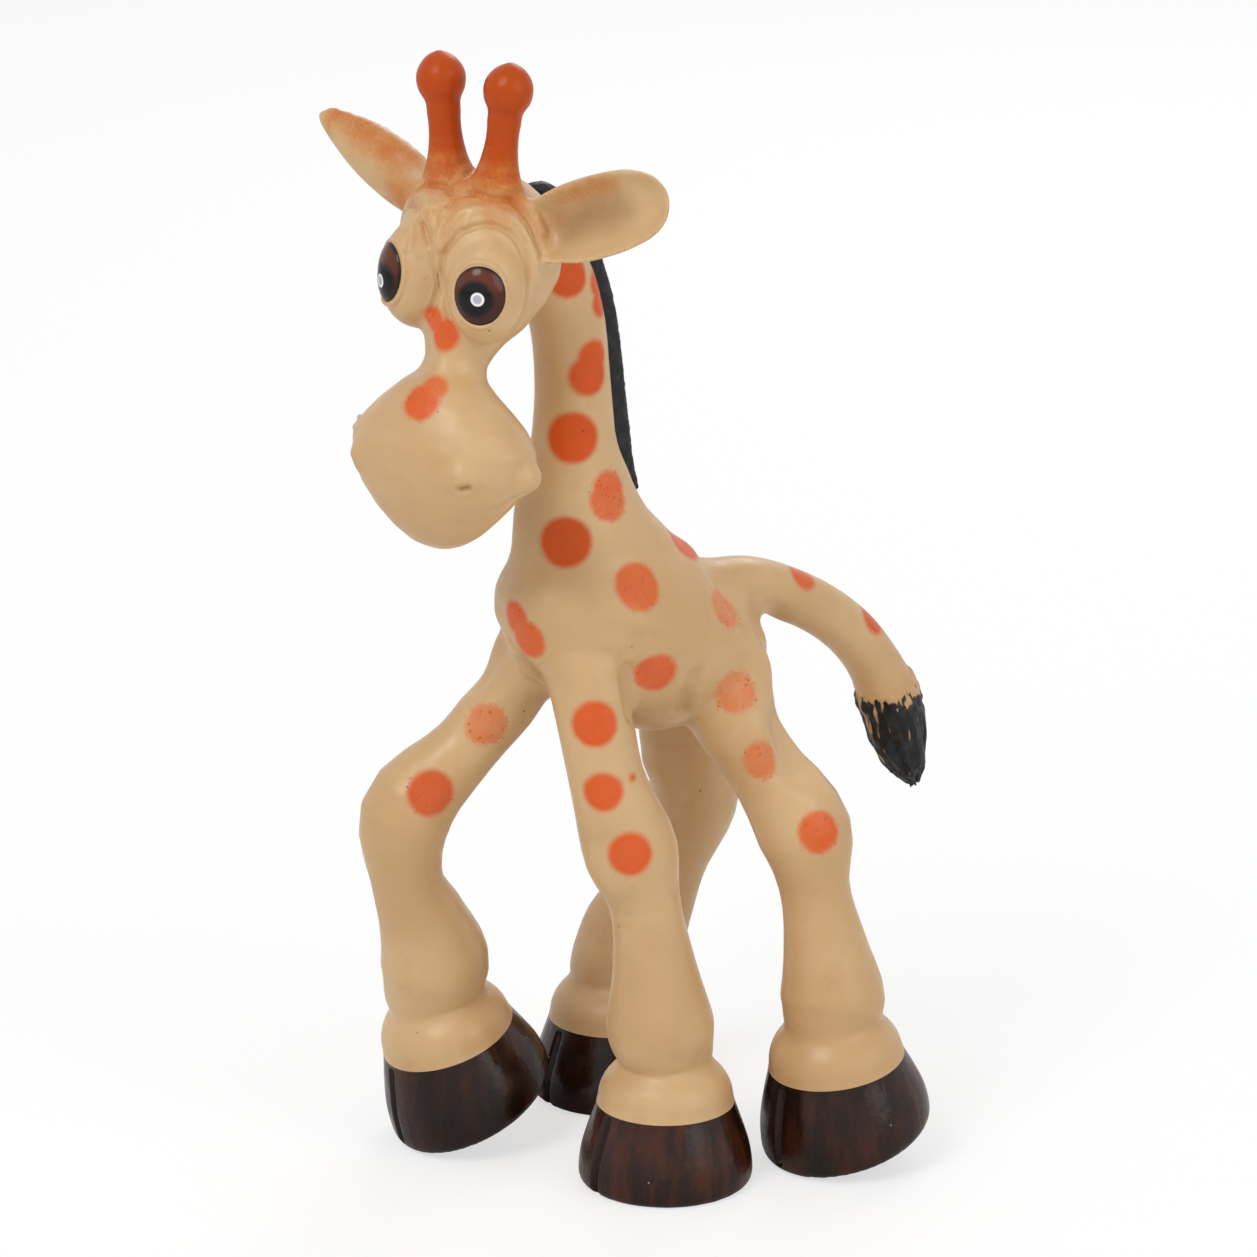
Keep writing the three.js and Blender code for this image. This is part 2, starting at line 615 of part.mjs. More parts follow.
// Wires: one through the back, one through each pair of legs
keep('spine_wire', wireRod(spine, ...spineStations.wire, 0), 'wire');
keep('front_leg_wire', wireRod(front, ...legStations.wire, 0), 'wire');
keep('hind_leg_wire', wireRod(hind, ...legStations.wire, 0), 'wire');

// Largest piece only, free of loose slivers
function wholePiece(solid) {
  const parts = solid.decompose();
  return parts.reduce((best, part) => (part.volume() > best.volume() ? part : best));
}

solids.forEach(({ name, solid, look }) => {
  const piece = wholePiece(solid);
  const data = piece.getMesh();
  const geometry = new THREE.BufferGeometry();
  geometry.setAttribute('position', new THREE.Float32BufferAttribute(data.vertProperties, 3));
  geometry.setIndex(Array.from(data.triVerts));
  geometry.computeVertexNormals();
  const mesh = new THREE.Mesh(geometry, new THREE.MeshStandardMaterial(COLOURS[look]));
  mesh.name = name;
  group.add(mesh);
});

// Centre the figure over the origin with its feet on the floor
const box = new THREE.Box3().setFromObject(group);
const middle = box.getCenter(new THREE.Vector3());
group.children.forEach((mesh) => {
  mesh.geometry.translate(-middle.x, -middle.y, -box.min.z);
});

export default group;
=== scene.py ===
import math

import bmesh
import bpy
import numpy as np
from mathutils import Matrix, Vector, noise
from mathutils.bvhtree import BVHTree


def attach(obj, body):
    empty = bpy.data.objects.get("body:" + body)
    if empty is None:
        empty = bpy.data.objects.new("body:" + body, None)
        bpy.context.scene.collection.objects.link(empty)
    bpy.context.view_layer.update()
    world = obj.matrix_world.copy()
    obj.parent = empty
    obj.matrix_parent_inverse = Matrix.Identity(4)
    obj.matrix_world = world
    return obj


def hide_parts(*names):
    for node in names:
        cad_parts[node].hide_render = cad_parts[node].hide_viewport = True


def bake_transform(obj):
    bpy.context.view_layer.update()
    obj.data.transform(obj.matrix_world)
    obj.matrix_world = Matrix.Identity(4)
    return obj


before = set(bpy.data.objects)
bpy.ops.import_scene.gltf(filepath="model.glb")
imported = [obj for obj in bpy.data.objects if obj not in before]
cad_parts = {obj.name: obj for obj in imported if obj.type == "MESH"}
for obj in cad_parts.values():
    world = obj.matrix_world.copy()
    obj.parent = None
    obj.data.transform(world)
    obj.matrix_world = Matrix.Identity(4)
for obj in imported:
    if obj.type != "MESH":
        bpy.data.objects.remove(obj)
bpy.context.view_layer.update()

print("frame loaded")

toMetres = 0.001  # every table below is in millimetres
centring = Vector((0.675, -4.981, 0.0))  # the finished figure stands centred over the origin
skyward = Vector((0.0, 0.0, 1.0))
chestward = Vector((0.0, -1.0, 0.0))

# centre lines: across, along, up, half width, half depth
lineTables = {
    "torso": [
        (0, -18.9, 81.0, 0.6, 0.6), (0, -18.0, 80.9, 3.6, 3.8), (0, -16.2, 80.6, 6.4, 7.0),
        (0, -13.4, 80.0, 9.1, 9.8), (0, -9.2, 79.0, 11.4, 12.2), (0, -4.5, 77.8, 12.6, 13.8),
        (0, 0.5, 74.7, 13.0, 13.4), (0, 5.5, 71.7, 12.9, 12.4), (0, 10.5, 70.5, 12.0, 10.5),
        (0, 14.8, 71.0, 10.2, 8.6), (0, 18.2, 71.0, 7.6, 6.4), (0, 20.6, 71.2, 4.4, 3.8),
        (0, 21.8, 71.3, 1.8, 1.6), (0, 22.1, 71.3, 0.5, 0.5),
    ],
    "spine": [
        (2.2, -22.0, 130.0, 4.6, 4.6), (0.8, -16.0, 127.6, 4.9, 4.9), (0, -11.0, 122.4, 4.9, 5.0),
        (0, -8.9, 116.2, 4.8, 4.9), (0, -8.1, 109.0, 4.8, 4.9), (0, -7.9, 101.6, 5.3, 5.4),
        (0, -8.0, 95.2, 6.2, 6.6), (0, -7.2, 89.0, 7.8, 8.4), (0, -4.0, 83.0, 8.2, 8.6),
        (0, 5.0, 78.4, 6.0, 6.0), (0, 12.6, 76.6, 4.6, 4.4), (0, 19.6, 76.2, 4.2, 4.0),
        (0, 25.8, 74.0, 3.8, 3.7), (0, 31.8, 70.8, 3.6, 3.6), (0, 37.3, 66.4, 3.6, 3.6),
        (0, 41.4, 61.2, 3.7, 3.7), (0, 43.8, 56.2, 4.2, 4.2), (0, 45.6, 50.6, 3.8, 3.8),
        (0, 47.4, 46.0, 2.6, 2.6), (0, 48.7, 43.0, 0.7, 0.7),
    ],
    "front": [
        (10.8, -1.8, 22.2, 7.0, 7.2), (10.9, -2.8, 30.4, 5.4, 5.6), (10.7, -4.1, 39.2, 4.6, 4.7),
        (10.2, -6.1, 47.0, 6.0, 6.3), (9.2, -9.1, 56.9, 4.9, 5.0), (8.0, -10.3, 65.6, 5.0, 5.1),
        (5.6, -10.2, 72.0, 5.4, 5.6), (0, -10.2, 75.4, 5.4, 5.4), (-5.2, -10.8, 71.6, 5.2, 5.4),
        (-7.3, -14.0, 64.6, 4.7, 4.9), (-9.2, -19.1, 58.2, 4.4, 4.6), (-12.4, -26.0, 50.0, 6.0, 6.2),
        (-14.0, -25.2, 40.0, 4.7, 4.8), (-15.4, -21.7, 32.6, 5.9, 6.1), (-16.4, -19.4, 26.4, 7.2, 7.4),
    ],
    "hind": [
        (17.9, 21.2, 23.0, 7.0, 7.2), (17.2, 20.5, 30.2, 5.5, 5.7), (16.2, 19.4, 38.3, 4.6, 4.7),
        (14.6, 18.8, 46.0, 6.2, 6.4), (11.4, 14.9, 54.6, 5.0, 5.3), (8.7, 11.6, 61.9, 5.7, 6.0),
        (5.4, 11.0, 68.0, 6.0, 6.0), (0, 11.4, 71.2, 5.0, 5.0), (-5.0, 13.4, 67.4, 6.0, 6.0),
        (-7.8, 16.4, 60.0, 6.2, 6.6), (-10.6, 19.0, 50.6, 5.8, 6.2), (-13.2, 20.6, 42.0, 6.0, 6.2),
        (-15.6, 19.4, 34.0, 4.7, 4.8), (-17.5, 17.6, 28.6, 5.7, 5.9), (-18.7, 14.8, 23.0, 7.0, 7.2),
    ],
    "mane": [
        (1.6, -16.2, 134.6, 0.4, 0.5), (1.2, -13.7, 133.2, 1.2, 1.9), (0.6, -9.3, 129.0, 1.4, 2.6),
        (0, -6.4, 123.0, 1.5, 2.7), (0, -4.3, 116.0, 1.5, 2.7), (0, -3.3, 109.0, 1.5, 2.7),
        (0, -2.4, 102.0, 1.5, 2.7), (0, -1.0, 97.0, 1.3, 2.0), (0, 1.9, 92.2, 0.3, 0.4),
    ],
}

# measured from the middle of the head: left, forward, up, half width, half depth
headTables = {
    "skull": [
        (0, -2.4, 9.6, 0.6, 0.6), (0, -2.4, 9.0, 4.2, 4.0), (0, -2.3, 7.2, 7.6, 7.0),
        (0, -2.0, 4.4, 9.8, 8.8), (0, -1.8, 1.0, 10.8, 9.4), (0.09, -1.5, -2.6, 10.7, 9.2),
        (0.22, -0.3, -6.2, 8.6, 7.7), (0.34, 1.8, -9.6, 5.7, 5.9), (0.43, 3.3, -12.4, 4.3, 4.8),
        (0.51, 4.2, -14.6, 4.2, 4.5), (0.6, 5.0, -17.0, 6.8, 5.8), (0.69, 5.6, -19.8, 10.4, 7.3),
        (0.81, 6.0, -23.2, 13.0, 8.3), (0.95, 6.2, -27.0, 12.6, 8.4), (1.07, 6.1, -30.6, 10.0, 7.5),
        (1.18, 5.8, -33.6, 6.9, 5.9), (1.27, 5.4, -36.0, 3.9, 3.5), (1.31, 5.2, -37.1, 0.8, 0.8),
    ],
    "horn": [
        (3.5, 0, 6.0, 4.3, 4.3), (3.7, 0, 9.2, 3.3, 3.3), (4.1, 0, 12.4, 2.35, 2.35),
        (4.5, 0, 15.6, 2.05, 2.05), (4.8, 0, 18.2, 2.4, 2.4), (5.1, 0, 20.4, 3.1, 3.1),
        (5.3, 0, 22.2, 3.0, 3.0), (5.45, 0, 23.8, 1.9, 1.9), (5.5, 0, 24.6, 0.5, 0.5),
    ],
    "ear": [
        (5.2, -2.0, 2.2, 2.6, 2.2), (7.2, -2.2, 3.0, 3.0, 2.2), (10.4, -2.5, 4.1, 4.2, 2.1),
        (13.8, -2.8, 5.3, 5.0, 2.0), (17.6, -3.1, 6.8, 5.2, 1.9), (21.2, -3.3, 8.3, 5.0, 1.7),
        (24.2, -3.4, 9.6, 4.4, 1.5), (26.2, -3.4, 10.6, 3.1, 1.2), (27.0, -3.4, 11.0, 1.4, 0.7),
    ],
    "earRight": [
        (-5.2, -2.0, 3.0, 2.4, 2.2), (-7.2, -2.2, 3.9, 2.9, 2.2), (-10.4, -2.5, 5.2, 3.7, 2.1),
        (-13.8, -2.8, 6.7, 4.1, 2.0), (-17.6, -3.1, 8.4, 4.0, 1.9), (-21.2, -3.3, 10.1, 3.4, 1.7),
        (-24.2, -3.4, 11.6, 2.4, 1.4), (-26.2, -3.4, 12.7, 1.4, 1.1), (-27.0, -3.4, 13.2, 0.5, 0.5),
    ],
}

figure = {  # millimetres, degrees and shares
    "headMiddle": (2.505, -25.005, 127.905),
    "headTurn": 20,
    "headTilt": 2,
    "lid": (5.3, 3.5, -3.0),
    "lidHalves": (5.2, 7.2, 5.8),
    "lidSegments": (48, 32),
    "look": (0.371, 0.918, 0.139),
    "eyeHalves": (3.4, 3.75, 0.22),
    "hoofHeight": 16.8,
    "hoofRadius": 11.6,
    "hoofTop": 0.65,
    "pasternStand": 1.2,
    "backNarrowing": 0.3,
    "voxel": 0.36,
    "ringStep": 2.0,
    "ringSides": 32,
    "bellRings": 32,
    "bellSides": 48,
}

hooves = {
    "front_left": {"pitch": 0, "soleTilt": 0, "yaw": 0, "place": (10.3, -0.5)},
    "front_right": {"pitch": 20, "soleTilt": 8, "yaw": -6, "place": (-16.7, -13.3)},
    "hind_left": {"pitch": 10, "soleTilt": 8, "yaw": 0, "place": (18.0, 23.85)},
    "hind_right": {"pitch": 0, "soleTilt": 0, "yaw": 0, "place": (-19.35, 12.0)},
}

# share of the hoof's height, share of its radius
bellProfile = [
    (0, 0.95), (0.06, 1), (0.25, 0.975), (0.45, 0.89), (0.65, 0.79),
    (0.77, 0.76), (0.87, 0.69), (0.94, 0.6), (1, 0.525),
]


# places and lines
def headPlace(row):
    turned = Vector((row[0], -row[1], row[2]))
    turned.rotate(Matrix.Rotation(math.radians(figure["headTilt"]), 3, "Y"))
    turned.rotate(Matrix.Rotation(math.radians(figure["headTurn"]), 3, "Z"))
    return turned + Vector(figure["headMiddle"])


headFront = (headPlace((0, 1, 0)) - headPlace((0, 0, 0))).normalized()


def hoofFrame(name):
    hoof = hooves[name]
    pitch, tilt, yaw = (math.radians(hoof[key]) for key in ("pitch", "soleTilt", "yaw"))
    toe = Vector((math.sin(yaw), -math.cos(yaw), 0))
    axis = toe * math.sin(pitch) + skyward * math.cos(pitch)
    lift = figure["hoofRadius"] * bellProfile[0][1] * math.sin(pitch + tilt)
    sole = Vector((*hoof["place"], lift))
    return {"sole": sole, "axis": axis, "toe": toe, "across": axis.cross(toe).normalized(), "tilt": tilt}


def legRows(leftName, rightName, table):
    height = figure["hoofHeight"]
    heights = (0, height / 2, height, height + figure["pasternStand"])
    top = figure["hoofRadius"] * bellProfile[-1][1]
    ends = []
    for name in (leftName, rightName):
        hoof = hoofFrame(name)
        sizes = (top, top, top, top * 1.04)
        ends.append([(*(hoof["sole"] + hoof["axis"] * h), size, size) for h, size in zip(heights, sizes)])
    return ends[0] + list(table) + ends[1][::-1]


rows = {name: lineTables[name] for name in ("torso", "spine", "mane")}
for name in ("front", "hind"):
    rows[name] = legRows(name + "_left", name + "_right", lineTables[name])
for name, table in headTables.items():
    rows[name] = [(*headPlace(row), row[3], row[4]) for row in table]
rows["hornRight"] = [(*headPlace((-row[0], *row[1:3])), row[3], row[4]) for row in headTables["horn"]]
lines = {name: [Vector(row[:3]) for row in table] for name, table in rows.items()}
sizes = {name: [Vector((row[3], row[4], 0)) for row in table] for name, table in rows.items()}


def between(points, station, evenly):
    last = len(points) - 1
    i = min(int(station), last - 1)
    b, c = points[i], points[i + 1]
    a = points[i - 1] if i > 0 else b * 2 - c
    d = points[i + 2] if i + 2 <= last else c * 2 - b
    t = station - i
    if evenly:
        tb, tc = (c - a) * 0.5, (d - b) * 0.5
    else:
        ab, bc, cd = (max((q - p).length, 1e-6) ** 0.5 for p, q in ((a, b), (b, c), (c, d)))
        tb = ((b - a) / ab - (c - a) / (ab + bc) + (c - b) / bc) * bc
        tc = ((c - b) / bc - (d - b) / (bc + cd) + (d - c) / cd) * bc
    return b + tb * t + (3 * (c - b) - 2 * tb - tc) * t**2 + (2 * (b - c) + tb + tc) * t**3


def lineAt(name, station):
    return between(lines[name], station, False)


def lineAlong(name, station):
    last = len(lines[name]) - 1
    low, high = max(station - 0.01, 0), min(station + 0.01, last)
    return (lineAt(name, high) - lineAt(name, low)).normalized()


def lineLength(name, start, end):
    stops = [lineAt(name, start + (end - start) * i / 24) for i in range(25)]
    return sum((q - p).length for p, q in zip(stops, stops[1:]))


# bmesh building blocks
def ringFrame(centre, along, reference, halfWidth, halfDepth):
    front = (reference - along * reference.dot(along)).normalized()
    across = along.cross(front)
    columns = (across * halfWidth, front * halfDepth, along)
    turn = Matrix(columns).transposed().to_4x4()
    return Matrix.Translation(centre) @ turn


def addRing(bm, matrix, sides, shape=None, capped=False):
    verts = bmesh.ops.create_circle(bm, cap_ends=capped, radius=1, segments=sides)["verts"]
    if shape:
        for v in verts:
            v.co = shape(v.co)
    bmesh.ops.transform(bm, matrix=matrix, verts=verts)
    return [e for v in verts for e in v.link_edges if e.other_vert(v) in verts]


def addLoft(bm, frames, sides, shape=None):
    before = None
    for i, matrix in enumerate(frames):
        ring = set(addRing(bm, matrix, sides, shape, capped=i in (0, len(frames) - 1)))
        if before:
            bmesh.ops.bridge_loops(bm, edges=list(before | ring))
        before = ring


def addTube(bm, name, start, end, reference, shape=None, step=figure["ringStep"], sides=figure["ringSides"]):
    count = max(3, round(lineLength(name, start, end) / step))
    frames = []
    for i in range(count + 1):
        station = start + (end - start) * i / count
        size = between(sizes[name], station, True)
        frames.append(ringFrame(lineAt(name, station), lineAlong(name, station), reference, size.x, size.y))
    addLoft(bm, frames, sides, shape)


def addBell(bm, name):
    hoof = hoofFrame(name)
    frames = []
    for i in range(figure["bellRings"] + 1):
        station = i / figure["bellRings"] * (len(bellProfile) - 1)
        share, width = between([Vector((*row, 0)) for row in bellProfile], station, True)[:2]
        normal = hoof["axis"].copy()
        # all of the tilt at the sole, none at the paint edge
        tilt = hoof["tilt"] * max(0, 1 - share / figure["hoofTop"])
        normal.rotate(Matrix.Rotation(tilt, 3, hoof["across"]))
        radius = figure["hoofRadius"] * width
        centre = hoof["sole"] + hoof["axis"] * figure["hoofHeight"] * share
        frames.append(ringFrame(centre, normal, hoof["toe"], radius, radius))
    addLoft(bm, frames, figure["bellSides"])


def meshObject(name, bm):
    mesh = bpy.data.meshes.new(name)
    bm.to_mesh(mesh)
    bm.free()
    obj = bpy.data.objects.new(name, mesh)
    bpy.context.scene.collection.objects.link(obj)
    return obj


def applyModifiers(obj):
    bpy.context.view_layer.update()
    evaluated = obj.evaluated_get(bpy.context.evaluated_depsgraph_get())
    mesh = bpy.data.meshes.new_from_object(evaluated)
    obj.modifiers.clear()
    obj.data = mesh
    return obj


# the skin: every limb as a loft, then one continuous surface
eyes = {}
eyeSides = {
    "left": {"side": 1, "shift": (0, 0, 0), "oval": (0.15, -0.8)},
    "right": {"side": -1, "shift": (0.3, 0.42, 0), "oval": (-0.8, -0.3)},
}
for sideName, setting in eyeSides.items():
    side = setting["side"]
    lid = headPlace((figure["lid"][0] * side, *figure["lid"][1:])) + Vector(setting["shift"])
    aim = headPlace((figure["look"][0] * side, *figure["look"][1:]))
    look = (aim - headPlace((0, 0, 0))).normalized()
    across = skyward.cross(look).normalized()
    turn = Matrix((across, look.cross(across), look)).transposed().to_4x4()
    eyes[sideName] = {"side": side, "oval": setting["oval"], "matrix": Matrix.Translation(lid) @ turn}


def eggSection(co):
    return Vector((co.x * (1 - figure["backNarrowing"] * max(0, co.y)), co.y, 0))


earShape = {"wall": 0.4, "rimWall": 0.2, "bend": 1.5, "farBend": -1.2}  # shares of the ear's half depth


def earSection(co, bend=earShape["bend"]):
    edge = co.x * co.x
    side = co.y / max(abs(co.y), 0.001)
    wall = (earShape["wall"] + earShape["rimWall"] * edge**2) * side * min(1.0, 4 * abs(co.y))
    return Vector((co.x, bend * (edge - 0.5) + wall, 0))


def farEarSection(co):  # the far ear shows its round back
    return earSection(co, earShape["farBend"])


print("lofting the skin")
tailEnd = 15.6  # station on the spine where the tuft takes over
insideHoof = 1.6  # the legs start this many stations above the soles
steps = {"horn": 0.7, "ear": 0.6}
skinBm = bmesh.new()
addTube(skinBm, "torso", 0, len(lines["torso"]) - 1, skyward, eggSection)
addTube(skinBm, "spine", 0, tailEnd, chestward)
for name in ("front", "hind"):
    addTube(skinBm, name, insideHoof, len(lines[name]) - 1 - insideHoof, chestward)
for name in hooves:
    addBell(skinBm, name)
addTube(skinBm, "skull", 0, len(lines["skull"]) - 1, headFront)
for suffix, section in (("", earSection), ("Right", farEarSection)):
    addTube(skinBm, "horn" + suffix, 0, len(lines["horn"]) - 1, headFront, step=steps["horn"])
    addTube(skinBm, "ear" + suffix, 0, len(lines["ear"]) - 1, headFront, section, step=steps["ear"])
for eye in eyes.values():
    turns, rings = figure["lidSegments"]
    lidMatrix = eye["matrix"] @ Matrix.Diagonal((*figure["lidHalves"], 1))
    bmesh.ops.create_uvsphere(skinBm, u_segments=turns, v_segments=rings, radius=1, matrix=lidMatrix)
bmesh.ops.recalc_face_normals(skinBm, faces=skinBm.faces)
bmesh.ops.translate(skinBm, verts=skinBm.verts, vec=centring)
skin = meshObject("skin", skinBm)
remesh = skin.modifiers.new("Remesh", "REMESH")
remesh.mode = "VOXEL"
remesh.voxel_size = figure["voxel"]
applyModifiers(skin)
print("skin faces", len(skin.data.polygons))

# soft fillets where the forms meet: place, reach, passes
fillets = [
    ((0, -7.0, 91.0), 13, 50), ((0, 1.0, 91.0), 11, 130), ((0, -16.0, 89.0), 9, 90),
    ((0, 17.0, 76.0), 9, 40), ((0, 3.0, 80.0), 9, 40),
    ((6.5, -9.5, 68.0), 8, 50), ((-6.0, -12.0, 69.0), 8, 40),
    ((7.0, 12.0, 64.0), 8, 50), ((10.0, 15.5, 67.0), 8, 80), ((-6.5, 15.0, 62.0), 8, 50),
    ((1.5, -19.0, 127.0), 9, 30),
]
softEdge = 3  # the softening fades out over this last stretch of its reach


def readCoords(mesh):
    coords = np.empty(len(mesh.vertices) * 3)
    mesh.vertices.foreach_get("co", coords)
    return coords.reshape(-1, 3)


def soften(coords, edges, share, passes):
    reached = np.flatnonzero(share[edges].max(axis=1) > 0)
    a, b = edges[reached].T
    count = np.maximum(np.bincount(a, minlength=len(coords)) + np.bincount(b, minlength=len(coords)), 1)
    for _ in range(passes):
        for axis in range(3):
            line = coords[:, axis]
            total = np.bincount(a, line[b], len(coords)) + np.bincount(b, line[a], len(coords))
            coords[:, axis] = line + (total / count - line) * 0.5 * share


def readEdges(mesh):
    edges = np.empty(len(mesh.edges) * 2, dtype=np.int32)
    mesh.edges.foreach_get("vertices", edges)
    return edges.reshape(-1, 2)


def softenMesh(mesh, areas):
    coords = readCoords(mesh)
    edges = readEdges(mesh)
    for place, reach, passes in areas:
        distance = np.linalg.norm(coords - np.array(place), axis=1)
        soften(coords, edges, np.clip((reach - distance) / softEdge, 0, 1), passes)
    mesh.vertices.foreach_set("co", coords.ravel())
    mesh.update()


hornRoot = {"station": 0.7, "reach": 5.0, "passes": 45}
earRim = {"stations": (1.5, 3, 4.5, 6, 7.4), "reach": 6.5, "passes": 9}
fetlock = {"height": 19, "reach": 8, "passes": 30}
for suffix in ("", "Right"):
    fillets.append((lineAt("horn" + suffix, hornRoot["station"]), hornRoot["reach"], hornRoot["passes"]))
hoof = hoofFrame("hind_left")
fillets.append((hoof["sole"] + hoof["axis"] * fetlock["height"], fetlock["reach"], fetlock["passes"]))
earPlaces = [lineAt("ear" + suffix, station) for suffix in ("", "Right") for station in earRim["stations"]]
fillets += [(stop, earRim["reach"], earRim["passes"]) for stop in earPlaces]
softenMesh(skin.data, [(Vector(place) + centring, reach, passes) for place, reach, passes in fillets])
everywhere = (Vector((0, 0, 75)), 500, 5)
softenMesh(skin.data, [everywhere])
print("skin softened")


# strokes pressed into the skin or raised on it, as with a sculpting brush
def readNormals(mesh):
    normals = np.empty(len(mesh.vertices) * 3, dtype=np.float32)
    mesh.vertex_normals.foreach_get("vector", normals)
    return normals.reshape(-1, 3).astype(float)


def distanceToPath(coords, path):
    nearest = np.full(len(coords), 1e9)
    stops = [np.array(p, float) for p in path]
    if len(stops) == 1:
        return np.linalg.norm(coords - stops[0], axis=1)
    for a, b in zip(stops, stops[1:]):
        span = b - a
        t = np.clip(((coords - a) @ span) / (span @ span), 0, 1)[:, None]
        nearest = np.minimum(nearest, np.linalg.norm(coords - a - t * span, axis=1))
    return nearest


def falloff(distance, radius):
    near = np.clip(1 - distance / radius, 0, 1)
    return near * near * (3 - 2 * near)


def press(mesh, strokes, surface=None):
    coords, normals = readCoords(mesh), readNormals(mesh)
    moved = coords.copy()
    for path, radius, height in strokes:
        if surface:
            path = [surface.find_nearest(Vector(stop))[0] for stop in path]
        stops = np.array(path)
        low, high = stops.min(axis=0) - radius, stops.max(axis=0) + radius
        near = np.flatnonzero(np.all((coords > low) & (coords < high), axis=1))
        amount = falloff(distanceToPath(coords[near], path), radius) * height
        moved[near] += normals[near] * amount[:, None]
    mesh.vertices.foreach_set("co", moved.ravel())
    mesh.update()


# broad hollows and swellings: path, radius, height
broadStrokes = [
    ([(-1.9, -19.7, 88.5), (-2.4, -19.4, 91.0)], 7.0, 0.7),
    ([(-1.2, -23.2, 81.5), (-0.3, -23.6, 77.5)], 8.0, -0.7),
    ([(4.1, -0.9, 87.5), (2.5, 2.5, 85.2)], 8.0, -0.4), ([(7.3, 12.9, 73.2), (3.0, 16.3, 72.0)], 5.5, -1.1),
    ([(11.4, 9.6, 68.3)], 4.5, 0.9), ([(16.2, 11.6, 56.8), (14.9, 11.6, 60.5)], 5.5, -1.9),
    ([(-10.5, 7.4, 53.6), (-11.2, 8.4, 50.0)], 6.0, 1.3), ([(3.0, -2.0, 60.5)], 9.0, 0.5),
    ([(3.4, -7.2, 95.0), (4.2, -3.4, 89.8)], 7.0, 1.0),
    ([(13.2, -10.9, 70.8), (12.9, -10.6, 66.6)], 3.4, -0.9),
    ([(-5.7, -21.3, 71.6), (-7.4, -22.1, 68.6)], 5.5, -1.6),
    ([(3.5, -37.5, 117.1), (3.5, -37.9, 115.1)], 4.5, -0.8),
]
press(skin.data, broadStrokes)

# finer faces where small forms are pressed: place, reach
fineReach = {"eye": 9.5, "eyeDepth": 3, "toe": 3.0}
fineAreas = []
for eye in eyes.values():
    middle = eye["matrix"] @ Vector((0, 0, fineReach["eyeDepth"])) + centring
    fineAreas.append((middle, fineReach["eye"]))
fineAreas += [(Vector(place), reach) for place, reach in (
    ((5.0, -33.5, 134.0), 9.0), ((14.3, -38.8, 101.4), 4.5), ((17.5, -31.3, 101.0), 5.5),
    ((-8.6, -40.8, 102.5), 5.5), ((2.0, -20.5, 71.5), 6.0), ((-0.5, -44.0, 101.5), 3.5),
)]
earAreas = [(stop + centring, earRim["reach"]) for stop in earPlaces]
fineAreas += earAreas

toeSplit = ((0.0, 1.0), (0.06, 1.0), (0.25, 0.975), (0.45, 0.89), (0.585, 0.82))  # share of height, of radius


def toeLine(name):
    hoof = hoofFrame(name)
    front = (hoof["toe"] - hoof["axis"] * hoof["toe"].dot(hoof["axis"])).normalized()
    stops = []
    for share, width in toeSplit:
        middle = hoof["sole"] + hoof["axis"] * figure["hoofHeight"] * share
        stops.append(middle + front * figure["hoofRadius"] * width + centring)
    return stops


for name in hooves:
    fineAreas += [(stop, fineReach["toe"]) for stop in toeLine(name)]


def refine(mesh, areas):
    bm = bmesh.new()
    bm.from_mesh(mesh)
    coords = readCoords(mesh)
    inside = np.zeros(len(coords), dtype=bool)
    for middle, reach in areas:
        inside |= np.linalg.norm(coords - np.array(middle), axis=1) < reach
    bm.verts.ensure_lookup_table()
    chosen = {e for i in np.flatnonzero(inside) for e in bm.verts[i].link_edges}
    bmesh.ops.subdivide_edges(bm, edges=list(chosen), cuts=1, use_grid_fill=True)
    bm.to_mesh(mesh)
    bm.free()


refine(skin.data, fineAreas)
finePasses = 3
softenMesh(skin.data, [(middle, reach + 1, finePasses) for middle, reach in fineAreas + earAreas])
surface = BVHTree.FromObject(skin, bpy.context.evaluated_depsgraph_get())
print("skin refined", len(skin.data.polygons))


def eyeOval(eye, halfWidth, halfHeight, depth, start, end, middle=(0, 0), count=36):
    turns = [math.radians(start + (end - start) * i / count) for i in range(count + 1)]
    wide, high = eye["side"] * halfWidth, halfHeight
    stops = [(middle[0] + wide * math.cos(turn), middle[1] + high * math.sin(turn), depth) for turn in turns]
    return [eye["matrix"] @ Vector(stop) + centring for stop in stops]


# round each eye, angles from its outer corner: half width, half height, depth, start, end, radius, height
eyeStrokes = [
    (5.35, 7.4, 0.6, -80, 215, 0.75, -0.6), (6.5, 8.7, 0.0, -40, 150, 1.1, 0.4),
    (6.9, 10.6, -1.0, 25, 130, 0.75, -0.45), (7.6, 12.0, -2.0, 35, 125, 1.1, 0.3),
]
# round each painted oval: added to its half sizes, start, end, radius, height
rimStrokes = [(0.5, 0, 360, 0.6, 0.16), (0.55, 150, 290, 0.5, 0.2), (0.05, 0, 360, 0.35, -0.12)]
rimDepth = 5.0
for eye in eyes.values():
    press(skin.data, [
        (eyeOval(eye, halfWidth, halfHeight, depth, start, end), radius, height)
        for halfWidth, halfHeight, depth, start, end, radius, height in eyeStrokes
    ], surface)
    for wider, start, end, radius, height in rimStrokes:
        halves = [half + wider for half in figure["eyeHalves"][:2]]
        press(skin.data, [(eyeOval(eye, *halves, rimDepth, start, end, eye["oval"]), radius, height)], surface)

